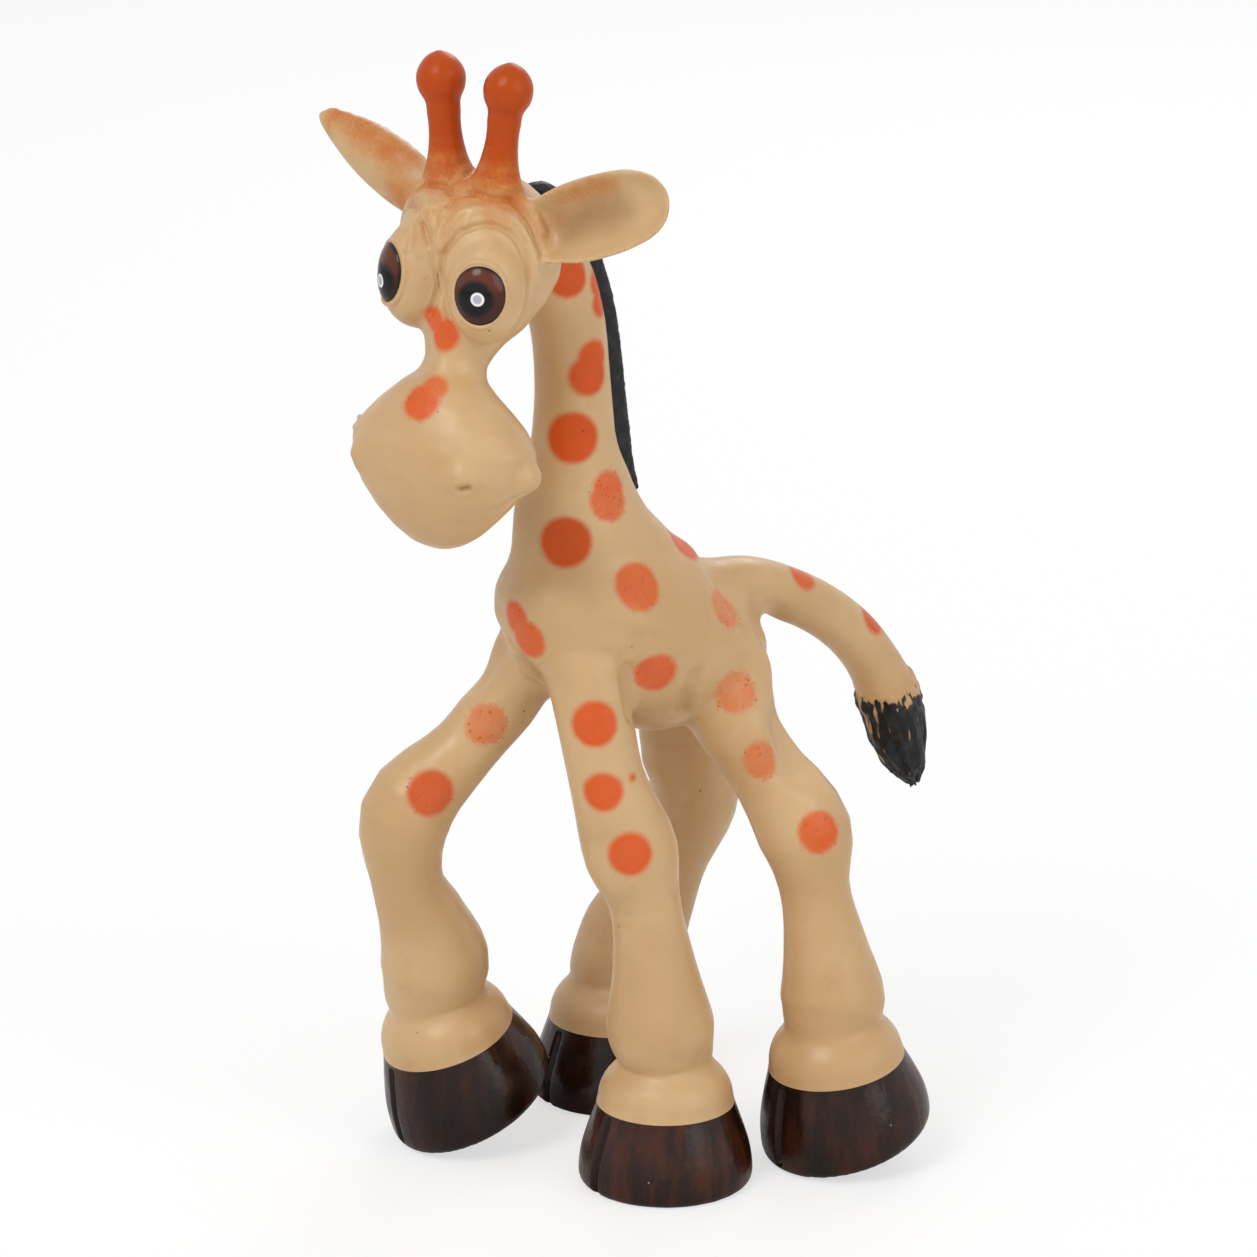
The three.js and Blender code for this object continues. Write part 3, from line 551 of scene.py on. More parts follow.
# brow ridges, nostrils, corners of the mouth, folds of the shoulder and groins: path, radius, height
smallStrokes = [
    ([(2.7, -36.4, 133.9), (2.5, -37.2, 131.7), (3.4, -38.0, 128.5)], 0.9, 0.35),
    ([(1.2, -36.8, 134.2), (1.0, -37.6, 131.8), (2.0, -38.6, 128.8)], 0.8, -0.35),
    ([(5.6, -35.4, 134.4), (6.0, -36.5, 131.3)], 0.8, 0.3),
    ([(4.2, -36.2, 134.0), (4.6, -37.0, 131.0)], 0.7, -0.25),
    ([(9.0, -33.6, 134.6), (8.6, -34.6, 132.6)], 0.7, 0.25),
    ([(12.3, -29.2, 132.6), (13.2, -28.4, 130.4)], 0.6, -0.25),
    ([(13.2, -27.6, 132.4), (13.8, -27.2, 130.2)], 0.6, -0.25),
    ([(14.2, -38.8, 102.2)], 3.0, 0.8), ([(14.2, -38.9, 101.3), (14.7, -38.3, 101.5)], 1.0, -0.8),
    ([(-1.3, -44.5, 102.5)], 3.0, 0.8), ([(-1.5, -44.6, 101.6), (-2.0, -44.4, 101.8)], 1.0, -0.8),
    ([(18.0, -29.8, 100.6)], 3.3, 1.4),
    ([(18.2, -31.0, 98.8), (17.4, -32.6, 98.1), (16.5, -34.4, 97.2)], 0.8, -0.6),
    ([(-8.6, -40.8, 106.3)], 1.6, 0.7), ([(-8.6, -40.8, 104.8)], 2.5, 0.9),
    ([(-9.4, -40.2, 105.6), (-7.6, -41.6, 105.8)], 0.7, -0.6),
    ([(-0.4, -22.4, 74.4), (2.0, -21.6, 72.9), (3.4, -20.4, 70.8), (3.6, -18.6, 68.4)], 0.8, -0.5),
    ([(0.6, -21.8, 72.4), (2.4, -20.8, 70.8), (3.0, -19.4, 69.2)], 0.9, 0.4),
    ([(-0.6, -21.8, 72.0), (1.2, -20.8, 70.2), (2.0, -19.4, 68.6)], 0.7, -0.35),
    ([(11.9, -12.6, 72.0), (12.5, -12.2, 69.3), (12.8, -11.8, 66.5)], 1.8, -0.6),
    ([(13.1, -2.2, 69.8), (12.1, -3.0, 67.1), (10.1, -2.4, 64.2)], 2.0, -0.6),
]
knobCrease = {"station": 4.05, "halfWidth": 2.3, "radius": 1.7, "height": -0.2}
toeCrease = {"radius": 0.9, "height": -1.0}
for side in ("", "Right"):  # the crease under the knob of each horn
    station, halfWidth = knobCrease["station"], knobCrease["halfWidth"]
    middle, along = lineAt("horn" + side, station), lineAlong("horn" + side, station)
    knobFrame = ringFrame(middle, along, headFront, halfWidth, halfWidth)
    turns = [math.radians(15 * i) for i in range(25)]
    ring = [knobFrame @ Vector((math.cos(turn), math.sin(turn), 0)) + centring for turn in turns]
    smallStrokes.append((ring, knobCrease["radius"], knobCrease["height"]))
for name in hooves:
    smallStrokes.append((toeLine(name), toeCrease["radius"], toeCrease["height"]))
press(skin.data, smallStrokes, surface)
print("small forms pressed")

# airbrushed paint, kept on the skin as an attribute: place, radius, depth of colour, speckle
spots = [
    ((5.7, -16.8, 123.2), 2.9, 0.75, 0.1), ((4.6, -11.5, 121.4), 1.7, 0.7, 0.1),
    ((4.6, -11.3, 118.8), 1.8, 0.7, 0.1), ((5.4, -13.7, 109.9), 2.7, 0.75, 0.1),
    ((5.4, -13, 112.2), 2.2, 0.7, 0.1), ((4.9, -15.9, 101.9), 3.3, 0.8, 0.1),
    ((7, -11.9, 93.4), 2.7, 0.45, 0.6), ((7, -11.6, 94.9), 2.4, 0.5, 0.5),
    ((5.9, -17.7, 88.6), 3.3, 1, 0.1), ((10.8, -10, 82.5), 3.2, 0.3, 0.35), ((9.6, 5, 76.9), 2.7, 0.2, 1),
    ((2.2, -23.4, 78.3), 2.4, 0.35, 0.3), ((4, -22.6, 75.9), 2.7, 0.4, 0.3),
    ((12.3, -8.2, 71.1), 2.8, 0.6, 0.5), ((13.5, 4, 66.5), 2.8, 0.05, 1), ((16.5, 6.1, 57.4), 2.7, 0.1, 1),
    ((20.8, 12.1, 47.7), 2.8, 0.4, 0.35), ((12.7, -18, 66), 3, 0.6, 0.2),
    ((13.4, -17.2, 56.9), 2.6, 0.45, 0.15), ((15.8, -14.6, 48.5), 2.9, 0.55, 0.2),
    ((-3.6, -23.9, 62.7), 2.8, 0.2, 1), ((-5.6, -31.2, 54.1), 3.1, 0.8, 0.35),
    ((6.6, -36.3, 118.6), 2.0, 0.45, 0.3), ((4.7, -36.8, 120.3), 1.6, 0.5, 0.3),
    ((7.8, -40.5, 110.8), 2.4, 0.5, 0.4), ((8.3, -39.0, 112.6), 1.7, 0.2, 0.3), ((4.1, 2, 85.1), 3, 0.7, 0.2),
    ((3.1, 22.7, 77), 2.3, 0.4, 0.3), ((2.6, 34.5, 68.8), 2.5, 0.7, 0.3),
    ((14.4, -13.3, 58.4), 0.55, 0.8, 0.2),
    # the side away from the camera
    ((-5.2, -14.1, 118.5), 3, 0.75, 0.1), ((-5, -12.5, 106.5), 3.2, 0.8, 0.1),
    ((-6.4, -14.7, 96), 3.3, 0.75, 0.15), ((-6.8, -9.1, 87.5), 3.2, 0.9, 0.1),
    ((-11, -12.6, 79.5), 3.2, 0.35, 0.4), ((-11.6, -1.1, 82), 2.9, 0.3, 0.5),
    ((-12.3, 2.4, 72), 3, 0.6, 0.4), ((-9.4, 8.9, 76), 2.8, 0.2, 0.9), ((-12, 12.4, 62.5), 2.9, 0.2, 0.9),
    ((-15, 15.4, 52), 2.8, 0.4, 0.5), ((-17.5, 16.9, 42), 2.9, 0.5, 0.4),
    ((-12.6, -20.1, 60.5), 2.9, 0.3, 0.8), ((-16.5, -30.1, 50), 3, 0.6, 0.6),
    ((-4.4, 12.2, 79.6), 2.7, 0.5, 0.4), ((-3, 27.4, 72.5), 2.4, 0.5, 0.3), ((-2.5, -36.1, 99), 2.4, 0.5, 0.6),
]
# orange tint sprayed on the brow, the horns and the roots of the ears: path, radius, strength
tints = [
    ([(4.5, -31.0, 136.5)], 11.0, 0.6), ([(9.5, -28.0, 135.5)], 6.0, 0.5),
    ([(0.5, -30.5, 135.5)], 6.0, 0.5), ([(13.0, -25.5, 132.0)], 5.5, 0.4),
    ([(-8.0, -33.5, 133.0)], 7.0, 0.6), ([(4.5, -36.5, 132.5)], 8.0, 0.35),
    ([(14.0, -23.5, 136.0), (20.0, -21.0, 138.5)], 4.0, 0.5),
    ([(-9.0, -32.0, 137.5), (-19.5, -34.5, 142.0)], 5.0, 0.62), ([(14.2, -38.9, 101.3)], 1.0, 0.35),
]
hornTints = [  # station, radius, strength: deeper towards the knob
    (0.3, 8.0, 1.1), (1.3, 7.0, 1.2), (2.2, 6.0, 1.4), (3.0, 6.0, 1.65), (3.8, 6.0, 1.9),
    (4.6, 6.5, 2.1), (5.4, 7.5, 2.2), (6.5, 7.5, 2.2), (8.0, 7.5, 2.2),
]
for side in ("", "Right"):
    for station, radius, strength in hornTints:
        tints.append(([lineAt("horn" + side, station) + centring], radius, strength))
# painted shade inside the ears, in the nostrils and in the folds: path, radius, strength
shades = [
    ([(14.0, -22.5, 132.0), (17.0, -21.3, 133.8), (20.5, -19.9, 135.0)], 4.6, 0.8),
    ([(14.3, -38.8, 101.3), (14.6, -38.4, 101.4)], 1.0, 1.5), ([(-1.5, -44.6, 101.6)], 0.9, 1.2),
    ([(2.0, -21.6, 72.6), (3.4, -20.4, 70.8)], 2.4, 0.45),
    ([(12.3, -12.4, 70.5), (12.8, -12.0, 67.0)], 2.4, 0.45),
    ([(12.1, -3.0, 67.1), (10.1, -2.0, 64.2)], 2.2, 0.3),
    ([(5.0, -15.5, 86.0), (2.0, -20.5, 90.0)], 6.0, 0.35),
]
sprayEdge = 3.2  # width over which a spot fades
mostPaint = 1.3


def layPaint(coords, layers):
    amount = np.zeros(len(coords))
    for path, radius, strength in layers:
        amount = np.maximum(amount, falloff(distanceToPath(coords, path), radius) * strength)
    return np.clip(amount, 0, mostPaint)


def paintAttribute(mesh):
    coords = readCoords(mesh)
    edge, depth, speckle = (np.zeros(len(coords)) for _ in range(3))
    for place, radius, strength, grain in spots:
        distance = np.linalg.norm(coords - np.array(place), axis=1)
        field = np.clip(0.5 + (radius - distance) / sprayEdge, 0, 1)
        nearer = field > edge
        depth, speckle = np.where(nearer, strength, depth), np.where(nearer, grain, speckle)
        edge = np.maximum(edge, field)
    colour = np.stack([edge, layPaint(coords, tints), speckle, depth], 1)
    layer = mesh.attributes.new("paint", "FLOAT_COLOR", "POINT")
    layer.data.foreach_set("color", colour.astype(np.float32).ravel())
    # the painted shade for the ears, nostrils and folds goes into its own attribute
    layer = mesh.attributes.new("paintedShade", "FLOAT", "POINT")
    layer.data.foreach_set("value", layPaint(coords, shades).astype(np.float32))


paintAttribute(skin.data)
print("skin painted")

# where the skin is divided for its joints: line, stations from the parent's end, bodies, CAD bend
bends = {
    "neck_base": ("spine", 6.35, 5.35, "torso", "neck_lower", 14),
    "neck_middle": ("spine", 4.4, 3.6, "neck_lower", "neck_upper", 10),
    "neck_top": ("spine", 3.2, 2.45, "neck_upper", "head", 8.5),
    "tail_base": ("spine", 12.0, 12.95, "torso", "tail_upper", 9),
    "tail_middle": ("spine", 13.9, 14.8, "tail_upper", "tail_end", 9),
}
for legName, lineName, mirrored, top, middle in (
    ("front_left", "front", False, "shoulder", "knee"), ("front_right", "front", True, "shoulder", "knee"),
    ("hind_left", "hind", False, "hip", "hock"), ("hind_right", "hind", True, "hip", "hock"),
):
    upper, lower, foot = legName + "_upper", legName + "_lower", legName + "_foot"
    stations = ((top, 8.62, 7.8, "torso", upper, 8.5), (middle, 7.45, 6.55, upper, lower, 10),
                ("fetlock", 3.8, 2.1, lower, foot, 11))
    for joint, high, low, parent, child, reach in stations:
        if mirrored:
            high, low = len(lines[lineName]) - 1 - high, len(lines[lineName]) - 1 - low
        bends[legName + "_" + joint] = (lineName, high, low, parent, child, reach)


def bendPlanes(joint):
    lineName, first, last = bends[joint][:3]
    start, end = lineAt(lineName, first) + centring, lineAt(lineName, last) + centring
    return start, end, (end - start).normalized()


def cutLocally(bm, near, place, normal):
    geom = list({v for f in near for v in f.verts} | {e for f in near for e in f.edges}) + near
    cut = bmesh.ops.bisect_plane(bm, geom=geom, dist=0.0005, plane_co=place, plane_no=normal)["geom_cut"]
    for e in cut:
        if isinstance(e, bmesh.types.BMEdge):
            e.seam = True


def islands(bm):
    left = set(bm.faces)
    while left:
        seed = left.pop()
        found, waiting = [seed], [seed]
        while waiting:
            face = waiting.pop()
            for e in face.edges:
                if e.seam:
                    continue
                for other in e.link_faces:
                    if other in left:
                        left.remove(other)
                        found.append(other)
                        waiting.append(other)
        yield found


def separate(obj, cuts, markers):
    bm = bmesh.new()
    bm.from_mesh(obj.data)
    for e in bm.edges:
        e.seam = False
    bm.faces.ensure_lookup_table()
    middles = np.array([f.calc_center_median() for f in bm.faces])
    nearCuts = []
    for place, normal, reach in cuts:
        close = np.flatnonzero(np.linalg.norm(middles - np.array(place), axis=1) < reach)
        nearCuts.append([bm.faces[i] for i in close])
    for near, (place, normal, reach) in zip(nearCuts, cuts):
        cutLocally(bm, near, place, normal)
    bm.normal_update()
    layer = bm.verts.layers.float_vector.new("restNormal")
    for v in bm.verts:
        v[layer] = v.normal
    order = []
    for found in islands(bm):
        middle = sum((f.calc_center_median() for f in found), Vector()) / len(found)
        name = min(markers, key=lambda key: (markers[key] - middle).length)
        order.append(name)
        for f in found:
            f.material_index = len(order) - 1
    obj.data.materials.clear()
    sorting = {}
    for name in order:
        label = bpy.data.materials.new("sorting")
        sorting[label.name] = name
        obj.data.materials.append(label)
    bm.to_mesh(obj.data)
    bm.free()
    bpy.context.view_layer.objects.active = obj
    for other in bpy.context.selected_objects:
        other.select_set(False)
    obj.select_set(True)
    bpy.ops.object.mode_set(mode="EDIT")
    bpy.ops.mesh.select_all(action="SELECT")
    bpy.ops.mesh.separate(type="MATERIAL")
    bpy.ops.object.mode_set(mode="OBJECT")
    pieces = {}
    for part in bpy.context.selected_objects:
        pieces[sorting[part.data.materials[part.data.polygons[0].material_index].name]] = part
    return pieces


def closePiece(obj, name):
    bm = bmesh.new()
    bm.from_mesh(obj.data)
    for f in bm.faces:
        f.smooth = True
        f.material_index = 0
    rim = [e for e in bm.edges if e.is_boundary]
    if rim:
        for f in bmesh.ops.holes_fill(bm, edges=rim, sides=0)["faces"]:
            f.smooth = False
            f.material_index = 0
    for e in bm.edges:
        e.seam = False
    bmesh.ops.scale(bm, verts=bm.verts, vec=Vector((toMetres,) * 3))
    bm.to_mesh(obj.data)
    bm.free()
    mesh = obj.data
    mesh.materials.clear()
    normals = np.empty(len(mesh.vertices) * 3, dtype=np.float32)
    mesh.attributes["restNormal"].data.foreach_get("vector", normals)
    normals = normals.reshape(-1, 3)
    corner = np.empty(len(mesh.loops), dtype=np.int32)
    mesh.loops.foreach_get("vertex_index", corner)
    cornerNormals = normals[corner]
    for polygon in mesh.polygons:
        if not polygon.use_smooth:
            cornerNormals[polygon.loop_start:polygon.loop_start + polygon.loop_total] = polygon.normal
    mesh.normals_split_custom_set(cornerNormals.tolist())
    mesh.attributes.remove(mesh.attributes["restNormal"])
    obj.name = name
    mesh.name = name
    return obj


cuts, markers = [], {}
for joint, (lineName, first, last, parent, child, reach) in bends.items():
    start, end, along = bendPlanes(joint)
    cuts += [(start, along, reach), (end, along, reach)]
    markers[joint] = (start + end) / 2
markers["torso"] = lineAt("torso", 6) + centring
markers["head"] = headPlace((0, 1, -10)) + centring
for name, station in (("neck_upper", 3.4), ("neck_lower", 4.9), ("tail_upper", 13.4), ("tail_end", 15.2)):
    markers[name] = lineAt("spine", station) + centring
headCuts = {"horn": (1.15, 4.6, 5.0), "ear": (2.4, 6.2, 4.5)}  # station, reach, station of the middle
for part, (station, reach, middle) in headCuts.items():
    for side, sideName in (("", "left"), ("Right", "right")):
        cuts.append((lineAt(part + side, station) + centring, lineAlong(part + side, station), reach))
        markers[part + "_" + sideName] = lineAt(part + side, middle) + centring
legMiddles = {"lower": 5.2, "upper": 7.6}  # stations, counted from the left hoof
hoofCut = {"reach": 11.8, "hoof": 5, "pastern": 14.5}  # heights of the middles
for legName in hooves:
    hoof = hoofFrame(legName)
    top = hoof["sole"] + hoof["axis"] * figure["hoofHeight"] * figure["hoofTop"] + centring
    cuts.append((top, hoof["axis"], hoofCut["reach"]))
    for part in ("hoof", "pastern"):
        markers[legName + "_" + part] = hoof["sole"] + hoof["axis"] * hoofCut[part] + centring
    lineName = legName.split("_")[0]
    for part, station in legMiddles.items():
        if legName.endswith("right"):
            station = len(lines[lineName]) - 1 - station
        markers[legName + "_" + part] = lineAt(lineName, station) + centring

print("cutting the skin")
skinPieces = separate(skin, cuts, markers)
print("pieces", len(skinPieces), "expected", len(markers), set(markers) - set(skinPieces))

# a piece replaces the node of its own name and rides on that body, except for these; the pieces at the bends
# ride on no body
nodesFor = {name: [name + "_bend"] for name in bends}
nodesFor["torso"] = ["torso", "spine_wire", "front_leg_wire", "hind_leg_wire"]
bodyFor = {part + "_" + sideName: "head" for part in headCuts for sideName in ("left", "right")}
for legName in hooves:
    for part in legMiddles:
        nodesFor[legName + "_" + part] = [legName + "_" + part + "_leg"]
    bodyFor[legName + "_pastern"] = bodyFor[legName + "_hoof"] = legName + "_foot"


# materials
def addNode(tree, kind, ports=None, **settings):
    made = tree.nodes.new("ShaderNode" + kind)
    for key, value in settings.items():
        setattr(made, key, value)
    for key, value in (ports or {}).items():
        if isinstance(value, bpy.types.NodeSocket):
            tree.links.new(value, made.inputs[key])
        else:
            made.inputs[key].default_value = value
    return made


def srgb(text):
    channels = [int(text[i:i + 2], 16) / 255 for i in (1, 3, 5)]
    return (*[c / 12.92 if c <= 0.04045 else ((c + 0.055) / 1.055) ** 2.4 for c in channels], 1.0)


def newMaterial(name):
    material = bpy.data.materials.new(name)
    material.use_nodes = True
    tree = material.node_tree
    tree.nodes.clear()
    output = tree.nodes.new("ShaderNodeOutputMaterial")
    shader = tree.nodes.new("ShaderNodeBsdfPrincipled")
    tree.links.new(shader.outputs[0], output.inputs[0])
    where = addNode(tree, "TexCoord").outputs["Object"]
    return material, tree, shader, where


def grain(tree, where, scale, detail=2.0, roughness=0.5):
    ports = {"Vector": where, "Scale": scale, "Detail": detail, "Roughness": roughness}
    return addNode(tree, "TexNoise", ports).outputs["Fac"]


def blendColours(tree, amount, first, second):
    made = addNode(tree, "Mix", {0: amount, 6: first, 7: second}, data_type="RGBA")
    return made.outputs[2]


def remap(tree, value, low, high, outLow=0.0, outHigh=1.0, smooth=True):
    made = addNode(tree, "MapRange", {0: value, 1: low, 2: high, 3: outLow, 4: outHigh})
    made.interpolation_type = "SMOOTHSTEP" if smooth else "LINEAR"
    return made.outputs[0]


def maths(tree, operation, first, second=0.0, third=0.0):
    return addNode(tree, "Math", {0: first, 1: second, 2: third}, operation=operation).outputs[0]


def bump(tree, height, distance, strength=1.0, onto=None):
    ports = {"Height": height, "Distance": distance, "Strength": strength}
    if onto:
        ports["Normal"] = onto
    return addNode(tree, "Bump", ports).outputs[0]


skinLook = {
    # the fourth colour is the brown of the painted shade inside the ears, in the nostrils and in the folds
    "base": "#CCA474", "pale": "#D6B282", "shade": "#BC905C", "paintedShade": "#94683A", "fleck": "#5E3C20",
    "spotLight": "#DD7038", "spot": "#E05414", "spotDeep": "#CC4A06", "drop": "#C04A12",
    "tintLight": "#CC8040", "tintDeep": "#BC4A0E",
    "roughness": (0.29, 0.44), "gloss": 0.4, "glossLostToPaint": -0.22,
    "glow": 0.06, "glowRadius": (1.0, 0.45, 0.22), "glowScale": 0.0012,
    "ripple": 0.0001, "pores": 0.00002, "paintEdge": 0.00003,
}


def makeSkin():
    material, tree, shader, where = newMaterial("vinyl_skin")
    paint = addNode(tree, "Attribute", attribute_name="paint")
    parts = addNode(tree, "SeparateColor", {"Color": paint.outputs["Color"]})
    edge, tint, speckle = parts.outputs[0], parts.outputs[1], parts.outputs[2]
    depth = paint.outputs["Alpha"]

    def centred(value, share):
        return maths(tree, "MULTIPLY", maths(tree, "SUBTRACT", value, 0.5), share)

    # the moulded vinyl: slow changes of tone, faint stains
    broad = remap(tree, grain(tree, where, 55, 3), 0.35, 0.65)
    colour = blendColours(tree, broad, srgb(skinLook["base"]), srgb(skinLook["pale"]))
    stains = remap(tree, grain(tree, where, 190, 4, 0.6), 0.52, 0.82, 0.0, 0.4)
    colour = blendColours(tree, stains, colour, srgb(skinLook["shade"]))
    # painted shade inside the ears, in the nostrils and in the folds, broken up a little by noise
    paintedShade = addNode(tree, "Attribute", attribute_name="paintedShade").outputs["Fac"]
    paintedShade = maths(tree, "MULTIPLY", paintedShade, remap(tree, grain(tree, where, 300, 3), 0.2, 0.8, 0.55, 0.9))
    colour = blendColours(tree, paintedShade, colour, srgb(skinLook["paintedShade"]))
    # orange mist on brow, horns and ear roots
    mist = maths(tree, "ADD", tint, centred(grain(tree, where, 380, 4, 0.6), 0.5))
    mist = maths(tree, "ADD", mist, centred(grain(tree, where, 2600, 1), 0.25))
    amount = maths(tree, "MULTIPLY", remap(tree, mist, 0.1, 0.75), maths(tree, "GREATER_THAN", tint, 0.01))
    tone = remap(tree, mist, 0.5, 1.05)
    mistColour = blendColours(tree, tone, srgb(skinLook["tintLight"]), srgb(skinLook["tintDeep"]))
    colour = blendColours(tree, amount, colour, mistColour)
    # spots: thin paint with a soft edge, darker droplets where the spray ran dry
    outline = maths(tree, "ADD", edge, centred(grain(tree, where, 420, 3), 0.1))
    ragged = maths(tree, "MULTIPLY", centred(grain(tree, where, 1700, 2), 0.35), speckle)
    outline = maths(tree, "ADD", outline, ragged)
    cover = remap(tree, outline, 0.32, 0.66)
    thin = maths(tree, "MULTIPLY_ADD", speckle, -0.3, 0.97)
    cloudy = maths(tree, "MULTIPLY", centred(grain(tree, where, 260, 3), 0.6), speckle)
    thin = maths(tree, "ADD", thin, cloudy)
    cover = maths(tree, "MULTIPLY", cover, thin)
    spread = maths(tree, "ADD", depth, centred(grain(tree, where, 330, 3), 0.35))
    full, deep = remap(tree, spread, 0.0, 0.5), remap(tree, spread, 0.5, 1.0)
    spotColour = blendColours(tree, full, srgb(skinLook["spotLight"]), srgb(skinLook["spot"]))
    spotColour = blendColours(tree, deep, spotColour, srgb(skinLook["spotDeep"]))
    colour = blendColours(tree, cover, colour, spotColour)
    drops = addNode(tree, "TexVoronoi", {"Vector": where, "Scale": 1500}).outputs["Distance"]
    drops = maths(tree, "ADD", drops, centred(grain(tree, where, 500, 2), 0.7))
    near = maths(tree, "MULTIPLY", remap(tree, outline, 0.2, 0.42), remap(tree, speckle, 0.05, 0.5, 0.0, 0.8))
    drops = maths(tree, "MULTIPLY", remap(tree, drops, 0.2, 0.1), near)
    colour = blendColours(tree, drops, colour, srgb(skinLook["drop"]))
    # a few brown flecks of dust
    flecks = addNode(tree, "TexVoronoi", {"Vector": where, "Scale": 330})
    specks = maths(tree, "LESS_THAN", flecks.outputs["Distance"], 0.05)
    rare = maths(tree, "GREATER_THAN", grain(tree, where, 95, 1), 0.58)
    dust = maths(tree, "MULTIPLY", maths(tree, "MULTIPLY", specks, rare), 0.7)
    colour = blendColours(tree, dust, colour, srgb(skinLook["fleck"]))
    tree.links.new(colour, shader.inputs["Base Color"])
    painted = maths(tree, "MAXIMUM", cover, amount)
    rough = remap(tree, grain(tree, where, 380, 3), 0.3, 0.7, *skinLook["roughness"])
    rough = maths(tree, "SUBTRACT", rough, maths(tree, "MULTIPLY", painted, 0.05))
    tree.links.new(rough, shader.inputs["Roughness"])
    gloss = maths(tree, "MULTIPLY_ADD", painted, skinLook["glossLostToPaint"], skinLook["gloss"])
    tree.links.new(gloss, shader.inputs["Specular IOR Level"])
    shader.inputs["Subsurface Weight"].default_value = skinLook["glow"]
    shader.inputs["Subsurface Radius"].default_value = skinLook["glowRadius"]
    shader.inputs["Subsurface Scale"].default_value = skinLook["glowScale"]
    relief = bump(tree, grain(tree, where, 240, 3), skinLook["ripple"], 0.5)
    relief = bump(tree, grain(tree, where, 1500, 2), skinLook["pores"], 0.5, relief)
    relief = bump(tree, cover, skinLook["paintEdge"], 0.6, relief)
    tree.links.new(relief, shader.inputs["Normal"])
    return material


hoofLook = {
    "dark": "#24120C", "brown": "#45200E", "black": "#150D0A", "scuff": "#54392C", "dust": "#B9A896",
    "grown": 0.22,  # squeeze of the streaks, which run down the wall
    "roughness": (0.17, 0.33), "gloss": 0.28, "wall": 0.00014, "dents": 0.00008,
}


def makeHoof():
    material, tree, shader, where = newMaterial("hoof_paint")
    grown = addNode(tree, "Mapping", {"Vector": where, "Scale": (1.0, 1.0, hoofLook["grown"])}).outputs[0]
    streaks = remap(tree, grain(tree, grown, 420, 4, 0.6), 0.38, 0.66)
    colour = blendColours(tree, streaks, srgb(hoofLook["dark"]), srgb(hoofLook["brown"]))
    broad = remap(tree, grain(tree, where, 75, 2), 0.38, 0.6, 0.3, 1.0)
    colour = blendColours(tree, broad, srgb(hoofLook["black"]), colour)
    scuff = remap(tree, grain(tree, where, 700, 5, 0.7), 0.62, 0.8, 0.0, 0.3)
    colour = blendColours(tree, scuff, colour, srgb(hoofLook["scuff"]))
    flecks = addNode(tree, "TexVoronoi", {"Vector": where, "Scale": 400})
    dust = maths(tree, "LESS_THAN", flecks.outputs["Distance"], 0.05)
    rare = maths(tree, "GREATER_THAN", grain(tree, where, 130, 1), 0.52)
    dust = maths(tree, "MULTIPLY", maths(tree, "MULTIPLY", dust, rare), 0.7)
    colour = blendColours(tree, dust, colour, srgb(hoofLook["dust"]))
    tree.links.new(colour, shader.inputs["Base Color"])
    rough = remap(tree, grain(tree, where, 300, 4), 0.3, 0.7, *hoofLook["roughness"])
    tree.links.new(rough, shader.inputs["Roughness"])
    shader.inputs["Specular IOR Level"].default_value = hoofLook["gloss"]
    relief = bump(tree, grain(tree, grown, 500, 3), hoofLook["wall"], 0.7)
    relief = bump(tree, grain(tree, where, 900, 3), hoofLook["dents"], 0.7, relief)
    tree.links.new(relief, shader.inputs["Normal"])
    return material


maneLook = {
    # the second colour is a grey for dust and for painted sheen on the black
    "base": "#141214", "dustAndSheen": "#2E2B2B", "streak": "#C9A173", "streakDark": "#846240",
    "roughness": (0.36, 0.55), "gloss": 0.3,
    # the brushed hatching: turn, squeeze, scale, detail, depth, strength
    "hatches": (
        ((0.7, 0.0, 0.3), 0.35, 2100, 3, 0.00012, 0.9),
        ((-0.8, 0.0, 0.3), 0.3, 1700, 2, 0.0001, 0.8),
    ),
}


def makeMane():
    material, tree, shader, where = newMaterial("mane_paint")
    # grey patches at random: dust and painted sheen
    dustAndSheen = remap(tree, grain(tree, where, 520, 4, 0.65), 0.45, 0.75)
    colour = blendColours(tree, dustAndSheen, srgb(maneLook["base"]), srgb(maneLook["dustAndSheen"]))
    streak = addNode(tree, "Attribute", attribute_name="streak").outputs["Fac"]
    rubbed = maths(tree, "MULTIPLY_ADD", grain(tree, where, 800, 3), 0.5, streak)
    bare = maths(tree, "MULTIPLY", remap(tree, rubbed, 0.5, 0.85), maths(tree, "GREATER_THAN", streak, 0.02))
    lighter = remap(tree, streak, 0.2, 0.9)
    tan = blendColours(tree, lighter, srgb(maneLook["streakDark"]), srgb(maneLook["streak"]))
    colour = blendColours(tree, bare, colour, tan)
    tree.links.new(colour, shader.inputs["Base Color"])
    rough = remap(tree, grain(tree, where, 600, 3), 0.3, 0.7, *maneLook["roughness"])
    tree.links.new(rough, shader.inputs["Roughness"])
    shader.inputs["Specular IOR Level"].default_value = maneLook["gloss"]
    relief = None
    for turn, squeeze, scale, detail, depth, strength in maneLook["hatches"]:
        ports = {"Vector": where, "Rotation": turn, "Scale": (1.0, 1.0, squeeze)}
        hatch = addNode(tree, "Mapping", ports).outputs[0]
        relief = bump(tree, grain(tree, hatch, scale, detail, 0.6), depth, strength, relief)
    tree.links.new(relief, shader.inputs["Normal"])
    return material


eyeLook = {
    "iris": "#602D1A", "irisLow": "#421A10", "rim": "#220A09",
    "pupil": "#060506", "glint": "#F4F4F2", "glintMiddle": "#B4B7BE",
    "pupilPlace": {"left": (-0.35, -0.3), "right": (0.5, -0.9)},
    "glintPlace": {"left": (-0.02, -0.3), "right": (0.1, -1.1)},
    "pupilSize": (2.25, 0.4), "glintSize": (0.86, 0.06), "glintMiddleSize": (0.56, 0.08),  # radius, blur
    "roughness": 0.16, "gloss": 0.3, "brushMarks": 0.00005,
}


